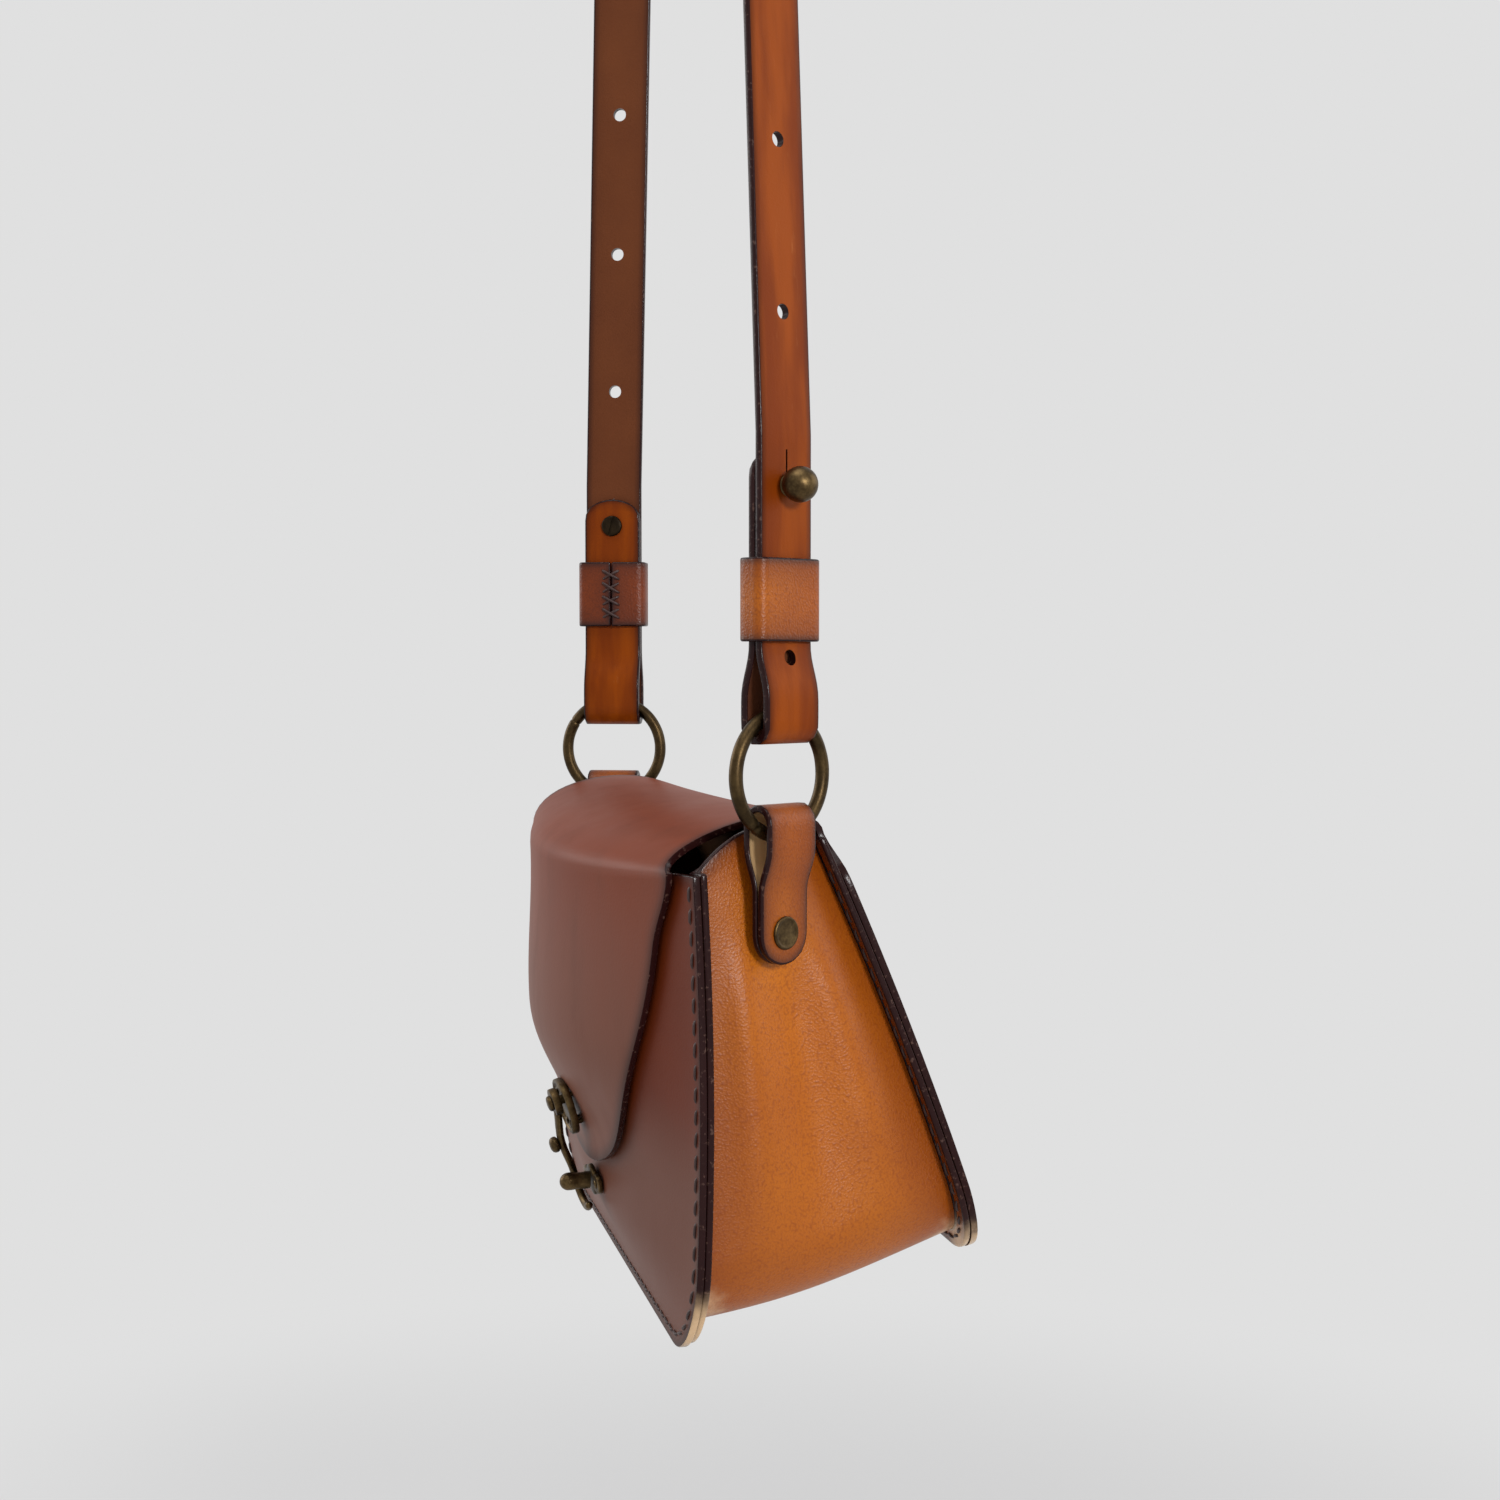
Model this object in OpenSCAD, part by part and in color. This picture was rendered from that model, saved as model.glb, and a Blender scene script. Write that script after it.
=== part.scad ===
// Small leather shoulder bag with a swing clasp, hanging by its strap.
// The origin is where the strap rests on a peg, at the underside of its top arch.
// The front faces -Y and the bag is long in X. Its own frame has its zero on the
// line through the two ring centres.

/* [Body] */
// Leather thickness of the bag
leather = 2; // [1.5:0.1:3]
// Ring centre to the top edge of the panels
panel_drop = 22; // [21:0.5:26]
// Height of the front and back panels
panel_h = 132; // [115:1:150]
// Half length of the front panel at the top
front_top_half = 96; // [90:0.5:105]
// Half length of the front panel at the bottom
front_bottom_half = 103; // [94:0.5:115]
// Half length of the back panel at the top
back_top_half = 80; // [78:0.5:84]
// Half length of the back panel at the bottom
back_bottom_half = 91; // [84:0.5:100]
// Ring line to the front panel at the top corner
front_top_out = 31; // [27:0.5:34]
// Ring line to the front panel at the bottom corner
front_bottom_out = 50; // [42:0.5:60]
// Ring line to the back panel at the top corner
back_top_out = 16.5; // [14:0.5:20]
// Ring line to the back panel at the bottom corner
back_bottom_out = 46; // [38:0.5:52]
// Swell of the upper front between the ends
front_swell = 20.5; // [8:0.5:23]
// Swell of the back between the ends
back_swell = 5; // [0:0.5:10]
// Radius of the bottom corners
corner_r = 25; // [16:1:34]
// Lean of the hanging bag, bottom towards the back, in degrees
lean = 10.5; // [0:0.5:12]
// Twist of the foot: its shift to the front for each unit along the bag
foot_turn_share = 0.08; // [0:0.01:0.1]

/* [Seams] */
// Width of the stitched flange of the gusset
seam_w = 6; // [5:0.5:8]
// Stitch spacing
stitch_pitch = 6; // [5:0.5:8]
// Thread thickness
thread_d = 1; // [0.8:0.1:1.2]
// Stitch line to the leather edge
stitch_in = 3.4; // [3:0.1:4]

/* [Gusset] */
// Outward crown of the gusset at the ring tab
tab_crown = 3.5; // [2:0.5:4]
// Outward crown of the gusset at its foot
foot_crown = 2.5; // [1:0.5:5]
// Rise of the gusset's top edge between its seams
gusset_rise = 8; // [0:0.5:9]

/* [Flap] */
// Length of the flap front below its shoulder
flap_front = 96; // [80:1:98]
// Half width of the flap at its hinge line
flap_hinge_half = 73; // [66:0.5:75]
// Half width of the flap at its shoulder
flap_shoulder_half = 82; // [77:0.5:82.5]
// Half width of the flap front
flap_half = 78; // [66:1:80]
// Clearance of the flap over the front panel
flap_gap = 1.4; // [1.2:0.1:2]
// Height of the flap's top arch over the panels, towards its hinge
flap_rise = 13; // [11:0.5:18]
// Height of the arch at the far end of its front
far_rise = 20; // [12:0.5:21]
// Height of the arch at the near end of its front
near_rise = 5.5; // [5:0.5:16]

/* [Rings] */
// Ring centre out from halfway between the panels' top ends
ring_out = 4; // [3:0.5:8]
// Inner diameter of a ring
ring_inner = 30; // [26:0.5:32]
// Wire thickness of a ring
ring_wire = 4; // [3:0.1:4.5]
// Turn of each ring, tab and strap end towards the back, in degrees
ring_turn = 26; // [15:1:28]

/* [Ring tabs] */
// Width of a ring tab
tab_w = 18; // [16:0.5:20]
// Length of a ring tab below its ring
tab_len = 36; // [32:0.5:42]
// Diameter of the tab rivet head
rivet_head_d = 9.4; // [8:0.1:11]
// Diameter of the tab rivet shank
rivet_d = 3.4; // [3:0.1:4]

/* [Strap] */
// Width of the strap
strap_w = 20; // [16:0.5:22]
// Strap thickness
strap_t = 2.4; // [2:0.1:3]
// Ring line to the underside of the strap's top arch
hang_h = 500; // [380:5:600]
// Radius of the strap's top arch
arch_r = 62; // [50:1:75]
// Ring line to the stud
stud_z = 80; // [74:0.5:90]
// Spacing of the adjustment holes
hole_pitch = 48; // [44:0.5:52]
// Diameter of an adjustment hole
hole_d = 4.4; // [4:0.1:5]
// Diameter of the stud's ball
ball_d = 10; // [8:0.1:11]
// Height of a keeper band
keeper_h = 23; // [18:0.5:24]
// Ring line to the foot of the near keeper
near_keeper_z = 37; // [34:0.5:42]
// Ring line to the foot of the far keeper
far_keeper_z = 44; // [40:0.5:48]
// Leather thickness of the keeper
keeper_t = 1.8; // [1.4:0.1:2.2]

/* [Clasp] */
// Width of the clasp plates
clasp_w = 18; // [15:0.5:20]
// Height of the plate on the flap
clasp_h = 18; // [16:0.5:20]
// Plate thickness
plate_t = 1.6; // [1.2:0.1:2]
// Pivot to post distance of the swing lever
lever_len = 28; // [24:0.5:32]

/* [Hidden] */
$fn = 48;
seat_gap = 0.25;      // clearance between pieces that lie against each other
cut_over = 1;         // how far a cut runs past the wall it cuts
half_turn = 180;
quarter = 90;

// Counts of rows and columns in the leather sheets
side_rows = 8;
corner_rows = 5;
bottom_rows = 5;
panel_cols = 20;
wall_cols = 10;
arch_rows = 9;
drop_rows = 12;

function mix(a, b, s) = a + (b - a) * s;
function clamp01(s) = min(1, max(0, s));
function ease(s) = (1 - cos(half_turn * clamp01(s))) / 2;

// The panels. u is the share of the height from the top edge down.
function height_share(z) = (-panel_drop - z) / panel_h;
function end_half(front, u) = front ? mix(front_top_half, front_bottom_half, u)
                                    : mix(back_top_half, back_bottom_half, u);
function across(front, x, z) = min(1, abs(x) / end_half(front, clamp01(height_share(z))));
// The front swells between its ends, most above the clasp, which draws it in to a shelf.
swell_from_share = 0.36;
swell_shelf_share = 0.7;
swell_end_share = 0.78;
shelf_share = 0.36;
top_swell_share = 0.82;
swell_power = 1.5;
function front_fall(u) = mix(top_swell_share, 1, ease(u / swell_from_share))
    - (1 - shelf_share) * ease((u - swell_from_share) / (swell_shelf_share - swell_from_share))
    - shelf_share * ease((u - swell_end_share) / (1 - swell_end_share));
// The hanging bag is a little twisted: the near end of its foot comes forward, the far end goes back.
function foot_shift(x, z) = -foot_turn_share * x * pow(max(0, height_share(z)), 2);
function front_y(x, z) = let (u = height_share(z), s = across(true, x, z))
    foot_shift(x, z) - mix(front_top_out, front_bottom_out, u)
        - front_swell * pow(1 - s * s, swell_power) * front_fall(u);
function back_y(x, z) = let (u = clamp01(height_share(z)), s = across(false, x, z))
    foot_shift(x, z) + mix(back_top_out, back_bottom_out, u)
        + back_swell * (1 - s * s) * sin(half_turn * u);

// Outline of a panel from its top corner to the middle of its foot, set in by inset
panel_foot = panel_drop + panel_h;
half_stations = side_rows + corner_rows + bottom_rows;
function corner_angle(k) = quarter * (k - side_rows) / corner_rows;
function outline_x(front, k, inset) = let (foot_half = end_half(front, 1))
    k <= side_rows ? mix(end_half(front, 0), foot_half, k / side_rows) - inset
    : k <= side_rows + corner_rows ? foot_half - corner_r + (corner_r - inset) * cos(corner_angle(k))
    : (foot_half - corner_r) * (half_stations - k) / bottom_rows;
function outline_z(k, inset) =
    k <= side_rows ? -mix(panel_drop, panel_foot - corner_r, k / side_rows)
    : k <= side_rows + corner_rows ? -panel_foot + corner_r - (corner_r - inset) * sin(corner_angle(k))
    : -panel_foot + inset;
function out_x(k) = k <= side_rows ? 1 : k <= side_rows + corner_rows ? cos(corner_angle(k)) : 0;
function out_z(k) = k <= side_rows ? 0 : k <= side_rows + corner_rows ? -sin(corner_angle(k)) : -1;

// A closed leather sheet between an upper and a lower grid of points
module sheet(upper, lower) {
    rows = len(upper);
    cols = len(upper[0]);
    low = rows * cols;
    points = concat([for (r = upper) each r], [for (r = lower) each r]);
    function quad(a, b, c, d) = [[a, b, c], [a, c, d]];
    faces = concat(
        [for (i = [0 : rows - 2], j = [0 : cols - 2])
            each quad(i * cols + j, i * cols + j + 1, (i + 1) * cols + j + 1, (i + 1) * cols + j)],
        [for (i = [0 : rows - 2], j = [0 : cols - 2])
            each quad(low + i * cols + j, low + (i + 1) * cols + j,
                      low + (i + 1) * cols + j + 1, low + i * cols + j + 1)],
        [for (i = [0 : rows - 2]) let (a = i * cols, b = a + cols)
            each quad(a, b, low + b, low + a)],
        [for (i = [0 : rows - 2]) let (a = i * cols + cols - 1, b = a + cols)
            each quad(b, a, low + a, low + b)],
        [for (j = [0 : cols - 2]) each quad(j + 1, j, low + j, low + j + 1)],
        [for (j = [0 : cols - 2]) let (a = (rows - 1) * cols + j)
            each quad(a, a + 1, low + a + 1, low + a)]);
    polyhedron(points, faces);
}

// Places the hanging bag under the strap, leaning as it hangs
module hang() translate([0, 0, -hang_h]) rotate([lean, 0, 0]) children();
// Places a piece at a ring, in the turned plane of the ring: X out of the bag, Y along the ring
module at_ring(side) translate([0, 0, -hang_h]) mirror([side < 0 ? 1 : 0, 0, 0])
    translate([ring_x, 0, 0]) rotate([0, 0, ring_turn]) children();

// Rows of a panel follow its outline down to the foot.
function panel_point(front, k, j, shift) =
    let (x = outline_x(front, k, 0) * (2 * j / panel_cols - 1), z = outline_z(k, 0))
    [x, (front ? front_y(x, z) : back_y(x, z)) + shift, z];
panel_last = side_rows + corner_rows;
module panel(front) {
    function grid(shift) = [for (k = [0 : panel_last])
        [for (j = [0 : panel_cols]) panel_point(front, k, j, shift)]];
    sheet(grid(front ? 0 : -leather), grid(front ? leather : 0));
}
module front_panel() color([0.37, 0.17, 0.11]) hang() difference() {
    panel(true);
    post_rivet_cuts();
}
module back_panel() color([0.40, 0.19, 0.11]) hang() panel(false);

// The gusset: flange, wall and flange at each station round the outline
function flange_y(front, x, z, deep) = front ? front_y(x, z) + leather + seat_gap + deep
                                             : back_y(x, z) - leather - seat_gap - deep;
function flange_point(side, front, k, inset, deep) =
    let (x = side * outline_x(front, k, inset), z = outline_z(k, inset))
    [x, flange_y(front, x, z, deep), z];
// The crown of the wall is full at the tab and small at the foot. It stands out more
// towards the front, so that the wall there turns with the ring.
crown_lean_share = 0.12;
top_crown_share = 0.55;
function crown(k, v) = (k == 0 ? top_crown_share : 1) * mix(tab_crown, foot_crown, ease(k / side_rows))
    * (sin(half_turn * v) + crown_lean_share * sin(2 * half_turn * v));
// Its top edge rises under the flap's arch.
rise_power = 0.8;
function top_rise(k, v) = k == 0 ? gusset_rise * pow(max(0, sin(half_turn * v)), rise_power) : 0;
function wall_point(side, k, v, inner) =
    let (a = flange_point(side, true, k, inner ? seam_w + leather : seam_w, inner ? 0 : leather),
         b = flange_point(side, false, k, inner ? seam_w + leather : seam_w, inner ? 0 : leather),
         p = mix(a, b, v), c = crown(k, v))
    [p[0] + side * out_x(k) * c, p[1], p[2] + out_z(k) * c + top_rise(k, v)];
function station(side, k, inner) = concat(
    [flange_point(side, true, k, 0, inner ? 0 : leather)],
    [for (w = [0 : wall_cols]) wall_point(side, k, w / wall_cols, inner)],
    [flange_point(side, false, k, 0, inner ? 0 : leather)]);
function strip(inner) = concat(
    [for (k = [0 : half_stations]) station(1, k, inner)],
    [for (k = [1 : half_stations]) station(-1, half_stations - k, inner)]);
module gusset() color([0.74, 0.40, 0.12]) difference() {
    hang() sheet(strip(false), strip(true));
    for (side = [-1, 1]) at_ring(side) tab_rivet_cut();
}

// Saddle stitches: one short bar on the leather's face for each pitch along the seam
bar_share = 0.8;
function seam_step(front, k) = norm([outline_x(front, k + 1, stitch_in) - outline_x(front, k, stitch_in),
                                     outline_z(k + 1, stitch_in) - outline_z(k, stitch_in)]);
module stitch_bar(a, b) {
    run = b - a;
    flat = norm([run[0], run[1]]);
    translate(a) rotate([0, atan2(flat, run[2]), atan2(run[1], run[0])])
        cylinder(d = thread_d, h = norm(run), $fn = 6);
}
function seam_point(side, front, k, s, lift) =
    let (x = side * mix(outline_x(front, k, stitch_in), outline_x(front, k + 1, stitch_in), s),
         z = mix(outline_z(k, stitch_in), outline_z(k + 1, stitch_in), s))
    [x, front ? front_y(x, z) - lift : flange_y(false, x, z, leather) - lift, z];
module seam_stitches(front) {
    for (side = [-1, 1], k = [0 : half_stations - 1]) {
        count = max(1, round(seam_step(front, k) / stitch_pitch));
        for (i = [0 : count - 1])
            stitch_bar(seam_point(side, front, k, (i + (1 - bar_share) / 2) / count, thread_d),
                       seam_point(side, front, k, (i + (1 + bar_share) / 2) / count, thread_d));
    }
}
module front_stitching() color([0.16, 0.08, 0.06]) hang() seam_stitches(true);
module back_stitching() color([0.16, 0.08, 0.06]) hang() seam_stitches(false);

// The flap: an arch over the top, then a front that follows the panel down to its tip
hinge_y = back_top_out - leather;
hinge_z = -panel_drop + seat_gap;
shoulder_z = -panel_drop + leather / 2;
function bezier(a, b, c, d, s) = pow(1 - s, 3) * a + 3 * s * pow(1 - s, 2) * b
    + 3 * s * s * (1 - s) * c + pow(s, 3) * d;
arch_grow_power = 3;
function arch_half(s) = mix(flap_hinge_half, flap_shoulder_half, pow(s, arch_grow_power));
function arch_point(i, j, thick) =
    let (s = i / arch_rows, x = arch_half(s) * (2 * j / panel_cols - 1),
         xs = flap_shoulder_half * (2 * j / panel_cols - 1),
         y1 = front_y(xs, shoulder_z) - flap_gap - thick,
         y0 = hinge_y + thick,
         over = -panel_drop + thick * 4 / 3,
         front_rise = mix(far_rise, near_rise, j / panel_cols))
    [x, bezier(y0, y0, y1, y1, s), bezier(hinge_z, over + flap_rise, over + front_rise, shoulder_z, s)];
taper_share = 0.22;
tongue_power = 2.05;
function tongue_half(u) = mix(flap_shoulder_half, flap_half, ease(u / taper_share))
    * pow(1 - pow(clamp01(u), tongue_power), 1 / tongue_power);
tip_share = 0.985;
function drop_point(i, j, thick) =
    let (u = tip_share * sin(quarter * i / drop_rows), z = shoulder_z - flap_front * u,
         x = tongue_half(u) * (2 * j / panel_cols - 1))
    [x, front_y(x, z) - flap_gap - thick, z];
function flap_grid(thick) = concat(
    [for (i = [0 : arch_rows]) [for (j = [0 : panel_cols]) arch_point(i, j, thick)]],
    [for (i = [1 : drop_rows]) [for (j = [0 : panel_cols]) drop_point(i, j, thick)]]);
module flap() color([0.47, 0.27, 0.21]) hang() difference() {
    sheet(flap_grid(leather), flap_grid(0));
    plate_rivet_cuts();
}

// The rings hang beside the middle of the gusset's top, so they follow both panels' ends.
ring_x = (front_top_half + back_top_half) / 2 + ring_out;

// The ring tab: a folded strip over the ring's wire, two layers, rounded foot
ring_r = (ring_inner + ring_wire) / 2;
loop_in_r = ring_wire / 2 + leather * 0.75;
layer_gap = seat_gap;
// The ring's wire falls away from the middle of the fold, more so as the bag swings.
swing_room = leather;
tab_fold_z = -sqrt(pow(ring_inner / 2, 2) - pow(tab_w / 2 + swing_room, 2)) + layer_gap;
loop_wide_drop = ring_r + ring_wire * 0.75;
loop_shut_drop = ring_r + 4 * ring_wire;
tab_foot_z = -ring_r - tab_len;
module loop_shape(half, shut, over) let (centre = tab_fold_z - loop_in_r) {
    translate([0, centre]) circle(r = half);
    polygon([[-half, centre], [-half, -loop_wide_drop],
             [-shut, -loop_shut_drop], [-shut, tab_foot_z - over],
             [shut, tab_foot_z - over], [shut, -loop_shut_drop],
             [half, -loop_wide_drop], [half, centre]]);
}
module tab_profile() difference() {
    loop_shape(loop_in_r + leather, leather + layer_gap / 2, 0);
    loop_shape(loop_in_r, layer_gap / 2, cut_over);
}
rivet_z = tab_foot_z + tab_w / 2;
tab_out = leather + layer_gap / 2;
rivet_in = 4;
rivet_reach = tab_out + layer_gap / 2 + rivet_in;
module tab_rivet_cut() translate([-rivet_reach - cut_over, 0, rivet_z]) rotate([0, quarter, 0])
    cylinder(d = rivet_d + seat_gap, h = rivet_reach + tab_out + 2 * cut_over);
module ring_tab() difference() {
    intersection() {
        rotate([quarter, 0, 0]) linear_extrude(tab_w, center = true) tab_profile();
        union() {
            translate([-tab_w, -tab_w / 2, rivet_z]) cube([2 * tab_w, tab_w, tab_len + ring_r + ring_r]);
            translate([-tab_w, 0, rivet_z]) rotate([0, quarter, 0]) cylinder(d = tab_w, h = 2 * tab_w);
        }
    }
    tab_rivet_cut();
}
module ring_tab_near() color([0.72, 0.38, 0.12]) at_ring(1) ring_tab();
module ring_tab_far() color([0.72, 0.38, 0.12]) at_ring(-1) ring_tab();

head_t = 0.8;
module tab_rivet() translate([tab_out + layer_gap / 2, 0, rivet_z]) rotate([0, quarter, 0]) {
    shank = rivet_reach + tab_out + layer_gap / 2;
    intersection() {
        cylinder(d = rivet_head_d, h = head_t);
        translate([0, 0, head_t - rivet_head_d]) sphere(r = rivet_head_d);
    }
    translate([0, 0, -shank]) cylinder(d = rivet_d, h = shank + head_t / 2);
}
module tab_rivet_near() color([0.45, 0.36, 0.22]) at_ring(1) tab_rivet();
module tab_rivet_far() color([0.45, 0.36, 0.22]) at_ring(-1) tab_rivet();

// A plain round ring
module ring() rotate([0, quarter, 0]) rotate_extrude() translate([ring_r, 0])
    circle(d = ring_wire, $fn = 24);
module ring_near() color([0.40, 0.33, 0.22]) at_ring(1) ring();
module ring_far() color([0.40, 0.33, 0.22]) at_ring(-1) ring();

// The strap: tail up the inner side, round the ring, up the outer side and over the arch
layer_off = (strap_t + layer_gap) / 2;
strap_loop_r = ring_wire / 2 + strap_t / 2 + strap_t / 2;
fold_in_z = sqrt(pow(ring_inner / 2, 2) - pow(strap_w / 2, 2)) - layer_gap;
loop_centre_z = fold_in_z + strap_loop_r - strap_t / 2;
loop_wide_z = ring_r + ring_wire;
loop_shut_z = near_keeper_z - layer_gap * 4;
tail_top = stud_z + strap_w * 0.48;
lean_from = tail_top + strap_t * 2;
arch_foot = hang_h - arch_r;
arch_mid_r = arch_r + strap_t / 2;
tail_tip_shares = [0.01, 0.05, 0.15, 0.35, 0.65, 1];
loop_steps = 10;
taper_steps = 5;
leg_steps = 9;
arch_steps = 10;

// One station: centre, width direction and thickness direction, seen from the near side
function turned(n, z, nx, nz, turn, x) = [[x + n * cos(turn), n * sin(turn), z],
                                          [-sin(turn), cos(turn), 0],
                                          [nx * cos(turn), nx * sin(turn), nz], strap_w];
tip_depth_share = 0.7;
function tail_station(s) = let (r = strap_w / 2, d = s * r)
    let (st = turned(-layer_off, tail_top - d * tip_depth_share, -1, 0, ring_turn, ring_x))
    [st[0], st[1], st[2], 2 * sqrt(r * r - (r - d) * (r - d))];
function taper_z(s) = mix(loop_shut_z, loop_wide_z, s);
function taper_n(s) = mix(layer_off, strap_loop_r, ease(s));
leg_top_share = 0.45;
function leg_turn(s) = ring_turn * (1 - ease((s - leg_top_share) / (1 - leg_top_share)));
function leg_station(s) = turned(layer_off * (1 - s), mix(lean_from, arch_foot, s), 1, 0,
                                 leg_turn(s), mix(ring_x, arch_mid_r, s));
half_strap = concat(
    [for (s = tail_tip_shares) tail_station(s)],
    [turned(-layer_off, (stud_z + loop_shut_z) / 2, -1, 0, ring_turn, ring_x)],
    [for (i = [0 : taper_steps]) let (s = i / taper_steps)
        turned(-taper_n(s), taper_z(s), -1, 0, ring_turn, ring_x)],
    [for (i = [0 : loop_steps]) let (a = half_turn + half_turn * i / loop_steps)
        turned(strap_loop_r * cos(a), loop_centre_z + strap_loop_r * sin(a), cos(a), sin(a),
               ring_turn, ring_x)],
    [for (i = [0 : taper_steps]) let (s = 1 - i / taper_steps)
        turned(taper_n(s), taper_z(s), 1, 0, ring_turn, ring_x)],
    [turned(layer_off, (stud_z + loop_shut_z) / 2, 1, 0, ring_turn, ring_x)],
    [leg_station(0)],
    [for (i = [0 : leg_steps]) leg_station(mix(leg_top_share, 1, i / leg_steps))],
    [for (i = [1 : arch_steps]) let (a = quarter * i / arch_steps)
        [[arch_mid_r * cos(a), 0, arch_foot + arch_mid_r * sin(a)], [0, 1, 0],
         [cos(a), 0, sin(a)], strap_w]]);
function other_side(p) = [-p[0], p[1], p[2]];
function strap_edge(st, face) = [st[0] + st[2] * face * strap_t / 2 - st[1] * st[3] / 2,
                                 st[0] + st[2] * face * strap_t / 2 + st[1] * st[3] / 2];
function strap_rows(face) = let (last = len(half_strap) - 1) concat(
    [for (st = half_strap) strap_edge(st, face)],
    [for (i = [1 : last]) [for (p = strap_edge(half_strap[last - i], face)) other_side(p)]]);
slit_w = 0.6;
free_holes = 3;
module hole_cut(z, x, n_from, n_to, turn, d) translate([x, 0, z]) rotate([0, 0, turn])
    translate([n_from, 0, 0]) rotate([0, quarter, 0]) cylinder(d = d, h = n_to - n_from);
stud_neck_d = hole_d - seat_gap;
module strap_cuts() {
    for (i = [1 : free_holes])
        let (z = stud_z + i * hole_pitch, s = (z - lean_from) / (arch_foot - lean_from))
        hole_cut(z, mix(ring_x, arch_mid_r, s), -2 * strap_t, 4 * strap_t, leg_turn(s), hole_d);
    hole_cut(stud_z, ring_x, -3 * strap_t, 3 * strap_t, ring_turn, hole_d);
    translate([ring_x, 0, stud_z + hole_d / 4]) rotate([0, 0, ring_turn])
        translate([layer_gap / 4, -slit_w / 2, 0]) cube([3 * strap_t, slit_w, hole_d * 2]);
}
module shoulder_strap() color([0.60, 0.30, 0.09]) translate([0, 0, -hang_h]) difference() {
    sheet(strap_rows(-1), strap_rows(1));
    for (side = [0, 1]) mirror([side, 0, 0]) strap_cuts();
}

// The stud: ball outside with its neck through both layers, slotted screw inside
layers_half = strap_t + layer_gap / 2;
screw_d = 2.4;
base_d = 7.4;
base_t = 1.2;
bore_gap = 0.1;
module stud() translate([0, 0, stud_z]) rotate([0, quarter, 0]) difference() {
    union() {
        translate([0, 0, layers_half + layer_gap + ball_d / 2]) sphere(d = ball_d);
        translate([0, 0, layers_half + layer_gap]) cylinder(d = ball_d * 0.6, h = ball_d / 4);
        translate([0, 0, -layers_half]) cylinder(d = stud_neck_d, h = 2 * layers_half + ball_d / 4);
    }
    translate([0, 0, -layers_half - cut_over])
        cylinder(d = screw_d + bore_gap, h = 2 * layers_half + cut_over);
}
module stud_screw() translate([0, 0, stud_z]) rotate([0, -quarter, 0]) difference() {
    union() {
        translate([0, 0, layers_half + layer_gap]) cylinder(d = base_d, h = base_t);
        translate([0, 0, -layers_half / 2])
            cylinder(d = screw_d, h = layers_half * 1.5 + layer_gap + base_t / 2);
    }
    translate([-base_d / 2 - cut_over, -base_t / 3, layers_half + layer_gap + base_t / 2])
        cube([base_d + 2 * cut_over, base_t * 2 / 3, base_t]);
}
module stud_near() color([0.42, 0.35, 0.24]) at_ring(1) stud();
module stud_far() color([0.42, 0.35, 0.24]) at_ring(-1) stud();
module stud_screw_near() color([0.36, 0.30, 0.20]) at_ring(1) stud_screw();
module stud_screw_far() color([0.36, 0.30, 0.20]) at_ring(-1) stud_screw();

// The keeper: a band round both layers, butt joined on the inner side
keeper_gap = 0.35;
keeper_in = [2 * layers_half + 2 * keeper_gap, strap_w + 2 * keeper_gap];
module round_rect(size, r) {
    square([size[0], size[1] - 2 * r], center = true);
    square([size[0] - 2 * r, size[1]], center = true);
    for (x = [-1, 1], y = [-1, 1])
        translate([x * (size[0] / 2 - r), y * (size[1] / 2 - r)]) circle(r = r);
}
module keeper(z) translate([0, 0, z]) linear_extrude(keeper_h) difference() {
    round_rect(keeper_in + [2 * keeper_t, 2 * keeper_t], keeper_t);
    square(keeper_in, center = true);
}
crosses = 4;
cross_half = 2.6;
module keeper_stitches(z) {
    pitch = keeper_h / (crosses + 1);
    face = -keeper_in[0] / 2 - keeper_t - thread_d / 2 - bore_gap;
    for (i = [1 : crosses]) {
        stitch_bar([face, -cross_half, z + pitch * i - pitch / 3],
                   [face, cross_half, z + pitch * i + pitch / 3]);
        stitch_bar([face - thread_d, -cross_half, z + pitch * i + pitch / 3],
                   [face - thread_d, cross_half, z + pitch * i - pitch / 3]);
    }
}
module keeper_near() color([0.66, 0.35, 0.11]) at_ring(1) keeper(near_keeper_z);
module keeper_far() color([0.66, 0.35, 0.11]) at_ring(-1) keeper(far_keeper_z);
module keeper_stitches_near() color([0.12, 0.07, 0.06]) at_ring(1) keeper_stitches(near_keeper_z);
module keeper_stitches_far() color([0.12, 0.07, 0.06]) at_ring(-1) keeper_stitches(far_keeper_z);

// The clasp. Its frame lies on the flap: X along the bag, Z up the flap, -Y outwards.
pivot_drop = 97.5;
plate_up = clasp_h * 0.36;
clasp_seat = 1.3;
// The stiff plate leans a little less than the leather under it.
plate_foot_y = front_y(0, -pivot_drop + plate_up - clasp_h);
plate_top_y = front_y(0, -pivot_drop + plate_up);
tilt_share = 0.5;
clasp_tilt = atan((plate_foot_y - plate_top_y) / clasp_h) * tilt_share;
module on_flap() translate([0, front_y(0, -pivot_drop) - flap_gap - leather - clasp_seat, -pivot_drop])
    rotate([clasp_tilt, 0, 0]) children();
module at_clasp() hang() on_flap() children();
module clasp_outline(inset)
    let (w = clasp_w / 2 - inset, top = plate_up - inset, foot = plate_up - clasp_h + inset)
    polygon([[-w * 0.55, top], [w * 0.55, top], [w, top - w * 0.5], [w * 0.8, foot + w * 0.5],
             [w * 0.35, foot], [-w * 0.35, foot], [-w * 0.8, foot + w * 0.5], [-w, top - w * 0.5]]);
module plate_solid(h) rotate([quarter, 0, 0]) linear_extrude(h) children();
rim_w = 1.4;
rim_h = 0.8;
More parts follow.
